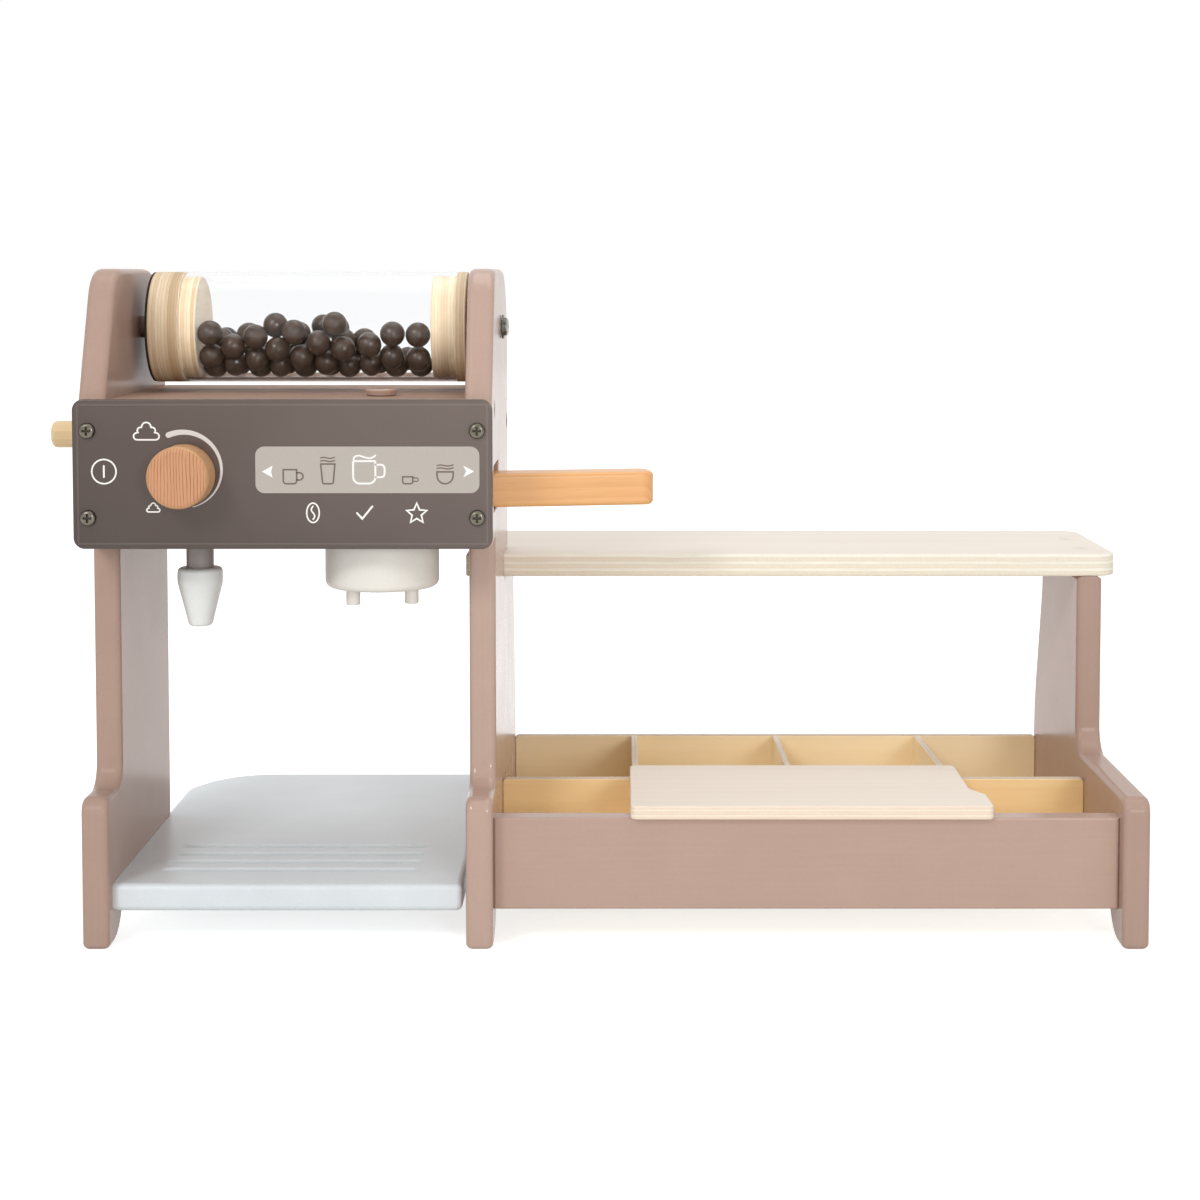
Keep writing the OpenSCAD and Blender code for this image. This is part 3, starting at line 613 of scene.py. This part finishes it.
MOCHA = (187, 158, 143)
mocha = paint("mocha paint", MOCHA, 0.2, grain=Z, depth=0.003)
# The outer panels' paint is a darker copy of the mocha paint: painted shade, because the outer panels take
# less light than the middle one.
mocha_outer_painted_shade = paint("mocha paint with painted shade on the outer panels", (178, 150, 136), 0.23, grain=Z, depth=0.003,
                    gloss=0.12)
mocha_flat = paint("mocha paint on the walls", MOCHA, 0.24, grain=X, gloss=0.3)
# The box top's paint is a darker copy of the mocha paint: painted shade of the drum above it and a painted
# reflection of the dark beans.
mocha_box_painted_shade = paint("mocha paint with painted shade on the box", (166, 138, 122), 0.5, depth=0.0005, gloss=0.04)
white = paint("white paint", (223, 229, 232), 0.3)
nozzle_white = paint("nozzle paint", (236, 237, 234), 0.3)
cream = paint("cream paint", (237, 232, 223), 0.4, depth=0.01)
shaft_grey = paint("shaft paint", (150, 140, 136), 0.4)
ply_face = wood("plywood face", (243, 233, 220), (233, 216, 200), 9.0, (0, 40, 90),
                rough=0.5, rings=0.2, fibre=0.8, wobble=6.0)
tray_face = wood("tray plywood", (255, 236, 198), (252, 214, 164), 14.0, (30, 60, -70),
                 rough=0.45, rings=0.1, fibre=0.5, wobble=7.0)
mid_face = wood("mid wall plywood", (255, 222, 166), (242, 192, 128), 12.0, (10, 80, -50),
                rough=0.45, rings=0.2, fibre=0.6, wobble=7.0)
beech = wood("beech handle", (238, 180, 118), (212, 142, 82), 3.4, (0, -30, 226),
             rough=0.3, rings=0.3, fibre=0.8, wobble=9.0, turn=-10.0)
peg_wood = wood("peg wood", (238, 212, 166), (224, 190, 140), 3.0, (0, 0, 200),
                rough=0.45, rings=0.5, fibre=0.4, wobble=1.0)


def bean_paint():
    look = Look("bean paint", IOR=1.38)
    mottle = look.noise(180, 4, 0.65)
    return look.finish(look.tones(mottle, srgb(56, 44, 36), srgb(74, 60, 50)), look.vary(mottle, 0.2, 0.28),
                       look.noise(1400, 3, 0.6), 0.003)


def smoked_plate():
    """Smoked plate with painted light: paler towards its top right as a painted reflection, and a painted
    highlight as a hairline just inside its edge.
    """
    lo, hi = box("control_plate")
    look = Look("smoked plate", IOR=1.49)
    share, gaps = {}, []
    for axis in (X, Z):
        place, low, high = look.axis(axis), lo[axis] * MM, hi[axis] * MM
        share[axis] = look.level(place, low, high)
        gaps += [look.math("SUBTRACT", place, low), look.math("SUBTRACT", high, place)]
    # painted reflection: the plate's tone pales towards its top right
    tone = look.swayed(look.add((share[Z], 0.4), (share[X], 0.6)), (look.noise(24, 2), 0.25))
    colour = look.ramp(tone, (0, srgb(64, 50, 44)), (1, srgb(112, 98, 91)))
    near = look.least(*gaps)
    colour = look.mix(look.level(near, 0.4 * MM, 1.6 * MM, 0.3, 0), colour, srgb(74, 62, 56))
    # painted highlight: a pale hairline 2.4 mm inside the edge
    painted_highlight_line = look.level(look.apart(near, 2.4 * MM), 0, 0.45 * MM, 0.13, 0)
    fine = look.noise(500, 3)
    return look.finish(look.mix(painted_highlight_line, colour, srgb(196, 186, 178)), look.vary(fine, 0.2, 0.26),
                       fine, 0.004)


def clear_acrylic():
    """Clear acrylic that lets the lamps through to the beans."""
    look = Look("clear acrylic", Transmission_Weight=1.0, IOR=1.2, Roughness=0.0,
                Base_Color=(0.985, 0.988, 0.992, 1.0))
    shadow = look.node("LightPath", {}, output="Is Shadow Ray")
    through = look.node("BsdfTransparent", {"Color": (0.96, 0.965, 0.97, 1.0)})
    both = look.node("MixShader", {0: shadow, 1: look.surface.outputs[0], 2: through})
    look.fill(look.tree.nodes["Material Output"], {0: both})
    return look.material


def print_ink(name, *colour):
    look = Look(name, IOR=1.5)
    speck = look.noise(900, 2)
    return look.finish(look.tones(speck, srgb(*colour, shade=0.96), srgb(*colour)),
                       look.vary(speck, 0.38, 0.46))


plate_look = smoked_plate()
plate_steel = metal("plate screws' steel", (116, 110, 99), 0.3, Y, box("plate_screws")[0].y)
side_steel = metal("side screws' steel", (146, 139, 128), 0.3, X, box("left_side_panel")[0].x,
                   box("middle_side_panel")[1].x, box("right_side_panel")[1].x)
axle_steel = metal("axle screw's steel", (190, 190, 184), 0.3, X, box("axle_screw")[1].x)
washer_steel = metal("washers' steel", (120, 117, 108), 0.34, X, box("axle_washer")[1].x)


# ---- painted boards

for side in ("left", "middle", "right"):     # outlined on the face that has the screws' countersinks
    node_board(side + "_panel", side + "_side_panel", X, 2.45, [mocha if side == "middle" else mocha_outer_painted_shade],
               top=side != "left", deep=1.35, hole_r=0.8)
slab("box_top", "top_board", Z, 0.8, [mocha_box_painted_shade])
slab("box_back", "back_board", Y, 0.8, [mocha_flat])
slab("tray_front", "tray_front_wall", Y, 1.0, [mocha_flat])


def base_board():
    """The base with its four drip grooves. Its left edge reaches into the left panel's rounding."""
    reach, bend = 2.6, 3.1
    left_gap, right_gap, first, pitch, width, depth = 17.5, 21.5, 33, 14.4, 6.8, 1.7
    lo, hi = box("base_board")
    loop = [(x - reach * max(0, 1 - (x - lo.x) / bend), y)
            for x, y in cap_loops("base_board", Z, top=False)[0]]
    front = box("left_side_panel")[0].y
    flutes = [flute(lo.x + left_gap, hi.x - right_gap, front + first + pitch * k, width, depth)
              for k in range(4)]
    fitted("base", "base_board", Z, [loop], 3.0, [white], steps=6, flutes=flutes)


base_board()

# ---- shelf, tray and serving board

lo, hi = box("shelf")
ply = (hi.z - lo.z) / 6.4                # the lowest of seven layers is sanded thin
shelf_edge = ply_edge("shelf edge", Z, lo.z - 0.6 * ply, ply,
                      ((255, 252, 238), (241, 232, 212), (250, 240, 220)), X, 3, 0.14, (176, 150, 118))
node_board("side_shelf", "shelf", Z, 1.0, [ply_face, shelf_edge], top=False)
lo, hi = box("serving_board")
board_edge = ply_edge("serving board edge", Z, lo.z, (hi.z - lo.z) / 5,
                      ((247, 228, 207), (255, 242, 219), (250, 234, 211)), X, 8, 0.2, (170, 134, 102))
node_board("board", "serving_board", Z, 0.8, [ply_face, board_edge])
TRAY_PLY = ((236, 220, 198), (226, 208, 184), (232, 216, 198))
wall_edges = ply_edge("tray wall edge", Y, 0, 1.8, TRAY_PLY, X, 5)
divider_edges = ply_edge("divider edge", X, 0.4, 1.0, ((255, 246, 234), (246, 234, 220), (252, 242, 230)), Y,
                         2, glue_tone=(196, 170, 144))
slab("tray_back", "tray_back_wall", Y, 0.6, [tray_face, wall_edges], corner=2.0)
slab("tray_middle", "tray_mid_wall", Y, 0.6, [mid_face, wall_edges], corner=2.0)
lo, hi = box("tray_floor")
floor_edges = ply_edge("tray floor edge", Z, lo.z, (hi.z - lo.z) / 3, TRAY_PLY, X, 4)
reach = 2.2                              # how far the floor's ends stand in the panels' rounding
fitted("tray_bottom", "tray_floor", Z, [rectangle(lo.x - reach, lo.y, hi.x + reach, hi.y)], 0.3,
       [tray_face, floor_edges])
for spot in ("left", "centre", "right"):
    node_board("divider_" + spot, "tray_divider_" + spot, X, 0.3, [tray_face, divider_edges])

# ---- control plate

node_board("plate", "control_plate", Y, 0.7, [plate_look], keep=9.0, steps=4)


def arc(cx, cz, rx, rz, start, end, steps):
    """Points on an ellipse between two angles."""
    return [(cx + rx * math.cos(t), cz + rz * math.sin(t))
            for t in (math.radians(start + (end - start) * k / steps) for k in range(steps + 1))]


def offset(points, distance, closed):
    """The line moved to its right by a distance, which may be one number for each point."""
    n = len(points)
    line = [Vector(p) for p in points]
    moved = []
    for i, p in enumerate(line):
        sides = []
        for a, b in ((i - 1, i), (i, i + 1)):
            if closed or (a >= 0 and b < n):
                sides.append(right(line[b % n] - line[a % n]))
        mitre = sum(sides, Vector((0, 0))) / (1 + sides[0].dot(sides[-1])) if len(sides) > 1 else sides[0]
        reach = distance[i] if isinstance(distance, list) else distance
        moved.append(tuple(p + mitre * min(1, 2 / mitre.length) * reach))
    return moved


def stroke(points, width, closed=False):
    """Outlines of a drawn line: [outer, inner] where it is closed, else one with round ends."""
    widths = width if isinstance(width, list) else [width] * len(points)
    if closed:
        line = points if area(points) > 0 else points[::-1]
        return [offset(line, width / 2, True), offset(line, -width / 2, True)[::-1]]
    right = offset(points, [w / 2 for w in widths], False)
    left = offset(points, [-w / 2 for w in widths], False)
    ends = []
    for at, back, w in ((-1, -2, widths[-1]), (0, 1, widths[0])):
        way = math.degrees(math.atan2(points[at][1] - points[back][1], points[at][0] - points[back][0]))
        ends.append(arc(*points[at], w / 2, w / 2, way - 90, way + 90, 8)[1:-1])
    return [right + ends[0] + left[::-1] + ends[1]]


def cloud(x, z, unit, width):
    """Outline of a cloud with its flat bottom's middle at (x, z), found by rays from a point in it."""
    lobes = ((-68, 26, 26), (68, 26, 26), (-42, 68, 24), (42, 68, 24), (0, 94, 34))
    start, half_bottom, rays = Vector((0, 50)), 68, 96
    points = []
    for k in range(rays):
        t = 2 * math.pi * k / rays
        ray = Vector((math.cos(t), math.sin(t)))
        reach = 0.0
        for cx, cz, r in lobes:
            to = Vector((cx, cz)) - start
            ahead, across = to.dot(ray), abs(to.cross(ray))
            if across < r:
                reach = max(reach, ahead + math.sqrt(r * r - across * across))
        if ray.y < 0:
            down = start.y / -ray.y
            reach = down if abs(down * ray.x) <= half_bottom else min(reach, down)
        spot = start + ray * reach
        points.append((x + spot.x * unit, z + spot.y * unit))
    return stroke(points, width, True)


def wave(x0, x1, z, swing, width):
    """A line of steam from x0 to x1."""
    return stroke([(x0 + (x1 - x0) * q, z + swing * math.sin(2 * math.pi * q + 0.4) + swing * q)
                   for q in (k / 16 for k in range(17))], width)


def print_on_plate(name, shapes, material, proud=0.04):
    """Print as thin prisms on the plate's front, from the outlines (x, z) of each shape's edge and holes
    in mm from near the plate's lower left corner."""
    side_gap, sunk = 0.3, 0.02
    corner = box("control_plate")[0]
    verts, faces, normals = [], [], []
    for loops in shapes:
        flat = [(corner.x + side_gap + x, corner.z + z) for loop in loops for x, z in loop]
        start, n = len(verts), len(flat)
        verts += [(x, corner.y + y, z) for y in (-proud, sunk) for x, z in flat]
        for triangle in triangles(loops):
            faces.append([start + i for i in triangle])
            faces.append([start + n + i for i in reversed(triangle)])
            normals += [(0, -1, 0)] * 3 + [(0, 1, 0)] * 3
        for loop in loops:
            count = len(loop)
            for i in range(count):
                j = (i + 1) % count
                way = Vector(loop[j]) - Vector(loop[i])
                faces.append([start + j, start + i, start + n + i, start + n + j])
                normals += [(way.y, 0, -way.x)] * 4
            start += count
    piece = add_piece(name, verts, faces, normals, [material])
    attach(piece, "frame")


def star(x, z, outer, inner):
    return [(x + r * math.sin(math.pi * k / 5), z + r * math.cos(math.pi * k / 5))
            for k, r in enumerate([outer, inner] * 5)]


def mug(x0, x1, z0, z1, r, top_r=0.0, taper=0.0):
    """Outline of a cup, narrower by taper on each side at its bottom."""
    return outline([(x0 + taper, z0, r), (x1 - taper, z0, r), (x1, z1, top_r), (x0, z1, top_r)], 15)


def ear(x, z0, z1, reach, r):
    """Line of a handle that stands out from x by reach."""
    return outline([(x, z0, 0), (x + reach, z0, r), (x + reach, z1, r), (x, z1, 0)], 15)[::-1]


def print_plate():
    white_ink = print_ink("pale print", 250, 246, 242)
    arc_ink = print_ink("ring print", 220, 215, 211)
    panel_ink = print_ink("display print", 184, 176, 167)
    dark_ink = print_ink("dark print", 112, 98, 88)

    broad, thin, steps = 2.5, 0.3, 64
    sweep = arc(49.23, 35.4, 16.93, 16.93, 112.7, -76.5, steps)
    widths = [broad + (thin - broad) * k / steps for k in range(steps + 1)]
    print_on_plate("print_ring", [stroke(sweep, widths)], arc_ink)
    print_on_plate("print_display", [[rectangle(81.2, 25.1, 180.86, 45.9, 4)]], panel_ink, 0.02)
    bean = arc(106.7, 16.3, 2.8, 4.35, 0, 350, 35)
    crease = [(106.7 + 0.75 * math.sin(2 * math.pi * q), 13.4 + 5.8 * q) for q in (k / 12 for k in range(13))]
    print_on_plate("print_icons", [
        stroke(arc(13.82, 34.73, 5.4, 5.4, 0, 355, 71), 0.7, True),
        stroke([(13.8, 32.3), (13.8, 37.2)], 0.8),
        cloud(32.9, 48.9, 0.0605, 0.7), cloud(35.6, 16.7, 0.031, 0.6),
        stroke(bean, 0.65, True), stroke(crease, 0.65),
        stroke([(126.33, 16.16), (128.63, 13.66), (133.13, 19.16)], 0.85),
        stroke(star(152.9, 15.9, 4.7, 2.15), 0.75, True)], white_ink)
    steam = [(124.9, 40.0), (125.1, 41.0), (126.0, 41.7), (127.5, 41.9), (129.0, 41.4), (130.5, 40.9),
             (132.2, 40.7), (133.6, 41.1), (134.6, 41.9)]
    print_on_plate("print_choice", [
        stroke(mug(124.7, 134.6, 29.4, 39.4, 2.9, 0.5), 0.85, True), stroke(steam, 0.75),
        stroke(ear(134.9, 32.2, 37.8, 3.8, 1.7), 0.85),
        [[(84.1, 34.7), (88.85, 32.0), (88.25, 34.7), (88.85, 37.4)]],
        [[(178.5, 34.8), (173.7, 37.4), (174.9, 34.8), (173.7, 32.2)]]], white_ink)
    print_on_plate("print_choices", [
        stroke(mug(93.6, 99.55, 29.3, 35.6, 1.3), 0.75, True),
        stroke([(99.8, 34.2), *arc(100.3, 32.6, 2.1, 1.75, 78, -78, 10), (99.8, 31.0)], 0.75),
        stroke(mug(110.3, 116.6, 29.3, 38.1, 0.9, 0.0, 0.8), 0.75, True),
        wave(110.3, 116.5, 39.3, 0.32, 0.6), wave(110.3, 116.5, 40.7, 0.32, 0.6),
        stroke(mug(146.7, 151.2, 29.3, 32.4, 1.0), 0.7, True),
        stroke(ear(151.4, 30.4, 31.9, 2.2, 0.6), 0.5),
        stroke([(162.0, 34.6), (162.0, 33.2), *arc(165.6, 33.0, 3.6, 3.7, 180, 360, 20)[1:-1], (169.2, 33.2),
                (169.2, 34.6)], 0.75, True),
        wave(162.1, 169.2, 36.0, 0.3, 0.6), wave(162.1, 169.2, 37.3, 0.3, 0.6)], dark_ink)


print_plate()

# ---- turned parts

turned("knob", "steam_knob", Y, [(1, 0, 2.6), (1, 1, 0.6)], knob_beech())
turned("nozzle", "steam_nozzle", Z, [(0.5, 0, 2.0), (1, 0.77, 12.0), (0.97, 1, 2.0)], nozzle_white, step=7.5)
turned("bowl", "portafilter_bowl", Z, [(1, 0, 3.5), (1, 1, 1.5)], cream, step=7.5)
node_board("handle", "portafilter_handle", Z, 2.2, [beech], steps=6)

# ---- bean drum

lo, hi = box("drum_tube")
axle_y, axle_z, tube_r = (lo.y + hi.y) / 2, (lo.z + hi.z) / 2, (hi.z - lo.z) / 2
tube_x = (lo.x, hi.x)
inner_r = tube_r - 2                     # the tube's wall is 2 mm


def on_axle(name, x, corners, material, steps):
    """Turned piece on the drum's axis, drawn from x on."""
    return lathe(name, corners, along(X, x, axle_y, axle_z), material, steps)


def drum_plywood():
    """Plywood discs on the drum's axis: layers on their edge, the face's grain on their ends, and painted
    shade that darkens the wood inside the tube a little.
    """
    look = Look("drum plywood", IOR=1.45)
    layer = look.add((look.count(X, tube_x[0], 1.5), 1), (look.noise((1, 60, 60), 2), 0.35))
    chance = look.node("TexWhiteNoise", {"W": look.math("FLOOR", layer)}, noise_dimensions="1D")
    tone = look.ramp(chance, (0, srgb(198, 170, 134)), (0.35, srgb(228, 206, 172)),
                     (0.7, srgb(240, 222, 192)), (1, srgb(214, 190, 154)))
    fibres = look.noise((2600, 160, 160), 4, 0.7)
    tone = look.mix(look.vary(fibres, 0.34, 0), tone, srgb(186, 154, 116))
    seam = look.apart(look.math("FRACT", layer), 0.5)
    tone = look.mix(look.level(seam, 0.4, 0.5, 0, 0.5), tone, srgb(160, 126, 90))
    # painted shade: the wood seen through the tube is darkened a little
    half, fade = (tube_x[1] - tube_x[0]) / 2 * MM, 0.2 * MM
    inside = look.level(look.apart(look.axis(X), sum(tube_x) / 2 * MM), half - fade, half, 0.1, 0)
    tone = look.mix(inside, tone, srgb(150, 124, 96))
    face = look.tones(look.noise((60, 60, 900), 4, 0.65), srgb(234, 216, 192), srgb(246, 232, 212))
    height = look.add((fibres, 0.6), (look.level(seam, 0.38, 0.5, 0.4, 0), 1))
    return look.finish(look.mix(look.facing(X, 0.6, 0.8), tone, face), look.vary(fibres, 0.64, 0.54),
                       height, 0.08)


def felt_look():
    """Brown felt whose rim is painted near-black: painted shade of the narrow gap between the drive disc and
    the left panel.
    """
    look = Look("felt", Specular_IOR_Level=0.1)
    nap = look.noise(1600, 3, 0.7)
    face = look.tones(nap, srgb(132, 106, 92), srgb(152, 124, 108))
    # painted shade: the rim, which shows in the gap by the panel, is near-black
    return look.finish(look.mix(look.facing(X, 0.7, 0.9), srgb(54, 45, 39), face),
                       look.vary(nap, 0.9, 0.98), nap, 0.06)


def drum():
    """The clear tube, the drive disc with its felt, and the stepped caps, whose flanges meet the disc
    and the tube without a gap."""
    sunk = 0.4                           # how far the tube's ends stand in the flanges
    length = tube_x[1] - tube_x[0] + 2 * sunk
    section = [(inner_r, 0, 0), (tube_r, 0, 0), (tube_r, length, 0), (inner_r, length, 0)]
    stands_for(on_axle("tube", tube_x[0] - sunk, section, clear_acrylic(), 192), "drum_tube")
    disc = drum_plywood()
    start = box("drive_disc")[0].x
    plug_r = inner_r - 0.05
    width, step_x = box("drum_cap_left")[1].x - start, tube_x[0] - start
    left = [(0, 0, 0), (tube_r, 0, 0.5), (tube_r, step_x, 0.2), (plug_r, step_x, 0), (plug_r, width, 0.8),
            (0, width, 0)]
    stands_for(on_axle("left_stack", start, left, disc, 128), "drum_cap_left", "drive_disc")
    felt_r, thick = tube_r - 0.2, 1.1
    ring = [(0, 0, 0), (felt_r, 0, 0.3), (felt_r, thick, 0), (0, thick, 0)]
    felt = on_axle("drum_felt", start - thick - 0.02, ring, felt_look(), 96)
    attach(felt, "drum")
    lo, hi = box("drum_cap_right")
    width, step_x = hi.x - lo.x, tube_x[1] - lo.x
    cap = [(0, 0, 0), (plug_r, 0, 0.8), (plug_r, step_x, 0), (tube_r, step_x, 0.2), (tube_r, width, 0.5),
           (0, width, 0)]
    stands_for(on_axle("right_cap", lo.x, cap, disc, 128), "drum_cap_right")


drum()


def bean_heap():
    """The beans, settled by moving them apart and against the tube while they sink. The ones in view
    start from their places, given as (x from the left panel, height) where the line of sight crosses the
    axis's plane. Each row of them has its depth behind that plane and its drift along the sight."""
    rows = (([(44.7, 276.5), (56.1, 269.6), (66.5, 273.2), (76.7, 277.8), (84.8, 276.4), (77.3, 268.2),
              (104.9, 280.7), (96.7, 271.3), (109.0, 268.6), (121.6, 270.6), (132.9, 276.0),
              (145.2, 275.6)], -8, -0.25),
            ([(45.0, 263.4), (67.1, 264.2), (87.9, 264.2), (132.3, 263.8), (145.4, 263.8)], -9, -0.05),
            ([(46.7, 261.4), (58.1, 261.0), (68.5, 261.4), (78.8, 261.0), (91.0, 261.7), (102.2, 261.4),
              (110.8, 261.7), (122.1, 261.6), (134.5, 261.5), (146.6, 261.2)], 1, 0.0),
            ([(63.6, 275.7), (87.7, 276.2), (99.7, 279.8), (106.3, 279.0), (119.4, 273.0), (50.7, 273.1),
              (109.7, 271.8)], 6, 0.0))
    hidden, bean_r, rounds = 14, 5.98, 500
    left_plug, right_plug = 8, 11.3      # how far the caps reach into the tube
    sink, last_sink, forward, pull, least_pull, shove = 0.5, 0.02, 0.15, 0.3, 0.1, 0.4     # in a round
    room = (tube_x[0] + left_plug + bean_r, tube_x[1] - right_plug - bean_r)
    eye = np.array(camera.location) / MM
    left_x = box("left_side_panel")[0].x
    seen = np.array([(left_x + x, axle_y, z) for spots, _, _ in rows for x, z in spots])
    sight = seen - eye
    sight /= np.linalg.norm(sight, axis=1)[:, None]
    depth, drift = (np.concatenate([[row[i]] * len(row[0]) for row in rows])[:, None] for i in (1, 2))
    rng = np.random.default_rng(3)
    rest = np.column_stack([rng.uniform(*room, hidden), rng.uniform(axle_y + 4, axle_y + 16, hidden),
                            rng.uniform(axle_z - 14, axle_z, hidden)])
    p = np.vstack([seen + sight * depth, rest])
    s, n = len(seen), len(p)
    for k in range(rounds):
        left = 1 - k / rounds
        p[s:, 2] -= sink * left + last_sink
        p[s:, 1] += forward * left
        p[:s] += sight * drift * left
        foot = eye + ((p[:s] - eye) * sight).sum(1)[:, None] * sight
        p[:s] += (foot - p[:s]) * pull * max(left, least_pull)
        for _ in range(6):
            gap = p[:, None] - p[None]
            length = np.linalg.norm(gap, axis=2) + np.eye(n) * 99
            push = np.clip(2 * bean_r - length, 0, None) * shove
            p += (gap / length[..., None] * push[..., None]).sum(1)
            arm = p[:, 1:] - (axle_y, axle_z)
            reach = np.linalg.norm(arm, axis=1)
            out = reach > inner_r - bean_r
            p[out, 1:] = (axle_y, axle_z) + arm[out] / reach[out, None] * (inner_r - bean_r)
            p[:, 0] = np.clip(p[:, 0], *room)
    return [Vector(q) for q in p], bean_r


def ball(radius, rng, rows=20, steps=30):
    """Points and faces of a slightly uneven turned bead."""
    wave, uneven = rng.uniform(-1, 1, (3, 3)), 0.006
    verts, faces = [], []
    for i in range(rows + 1):
        a = math.pi * i / rows
        for k in range(steps if 0 < i < rows else 1):
            t = 2 * math.pi * k / steps
            n = np.array((math.sin(a) * math.cos(t), math.sin(a) * math.sin(t), math.cos(a)))
            verts.append(n * radius * (1 - uneven + uneven * math.sin(3 * (wave @ n).sum())))

    def at(i, k):
        return 0 if i == 0 else len(verts) - 1 if i == rows else 1 + (i - 1) * steps + k % steps

    for i in range(rows):
        for k in range(steps):
            face = [at(i, k), at(i + 1, k), at(i + 1, k + 1), at(i, k + 1)]
            faces.append(list(dict.fromkeys(face)))
    return verts, faces


def add_beans():
    centres, bean_r = bean_heap()
    rng = np.random.default_rng(11)
    verts, faces, normals = [], [], []
    for centre in centres:
        turn = Matrix.Rotation(rng.uniform(0, 6.28), 3, "X") @ Matrix.Rotation(rng.uniform(0, 6.28), 3, "Z")
        points, rings = ball(bean_r, rng)
        points = [turn @ Vector(p) for p in points]
        start = len(verts)
        verts += [centre + p for p in points]
        for ring in rings:
            faces.append([start + i for i in ring])
            normals += [points[i].normalized() for i in ring]
    stands_for(add_piece("beans", verts, faces, normals, [bean_paint()]), "coffee_beans")


add_beans()


def axle_wood():
    """Bare dowel outside; from the left panel's inner face on, brown like the mocha paint but darker: paint
    with painted shade of the gap by the panel.
    """
    look = Look("axle wood", IOR=1.45)
    fibres = look.noise((45, 1500, 1500), 4, 0.65)
    inner = box("left_side_panel")[1].x
    # from the panel's inner face on: mocha-like paint, darkened as painted shade of the gap
    paint_and_shade = look.level(look.axis(X), (inner - 1) * MM, (inner - 0.5) * MM)
    bare = look.tones(fibres, srgb(220, 188, 140), srgb(238, 212, 166))
    return look.finish(look.mix(paint_and_shade, bare, srgb(146, 120, 106)), look.vary(fibres, 0.6, 0.5), fibres, 0.03)


# ---- carried-over CAD nodes

for material, nodes in ((shaft_grey, ["steam_shaft"]), (cream, ["spout_pegs"]), (mocha, ["pivot_peg"]),
                        (ply_face, ["shelf_plugs", "crank_arm"]), (axle_wood(), ["crank_axle"]),
                        (peg_wood, ["crank_peg"]), (plate_steel, ["plate_screws"]),
                        (side_steel, ["side_screws"]), (axle_steel, ["axle_screw"]),
                        (washer_steel, ["knob_screw", "knob_washer", "axle_washer"])):
    for node in nodes:
        for slot in frame["nodes"][node].material_slots:
            slot.material = material


# ---- stage

def add_stage():
    """A studio of white walls that shine on the toy less than they show, three soft lamps and a floor
    that looks white and takes the contact shadow."""
    scene = bpy.context.scene
    scene.view_settings.view_transform = "Standard"
    scene.world = bpy.data.worlds.new("studio")
    studio, white_light, lit_share = Nodes(scene.world), (1, 1, 1, 1), 0.6
    studio.fill(studio.tree.nodes["Background"],
                {"Color": white_light, "Strength": studio.level(studio.shown(), 0, 1, lit_share, 1)})

    for name, spot, target, size, power in (
            ("key", (-1, -1.8, 1.4), (0, 0, 0.15), (0.6, 0.5), 13.5),
            ("fill", (0.65, -2.1, 0.55), (0, 0, 0.15), (0.38, 0.38), 9.5),
            ("top", (0.1, 0.1, 1.7), (0, 0, 0.1), (1.4, 1), 6.8)):
        data = bpy.data.lights.new(name, "AREA")
        data.shape = "RECTANGLE"
        data.size, data.size_y = size
        data.energy = power
        lamp = bpy.data.objects.new(name, data)
        lamp.location = spot
        lamp.rotation_euler = (Vector(target) - Vector(spot)).to_track_quat("-Z", "Y").to_euler()
        scene.collection.objects.link(lamp)

    look = Look("floor", Roughness=0.9, Base_Color=(0.8, 0.8, 0.8, 1.0), Specular_IOR_Level=0.0,
                Emission_Color=white_light)
    glow, half = 0.7, 6000
    look.fill(look.surface, {"Emission Strength": look.math("MULTIPLY", look.shown(), glow)})
    corners = [(x, y, 0) for x, y in rectangle(-half, -half, half, half)]
    floor = add_piece("floor", corners, [(0, 1, 2, 3)], [(0, 0, 1)] * 4, [look.material])


add_stage()
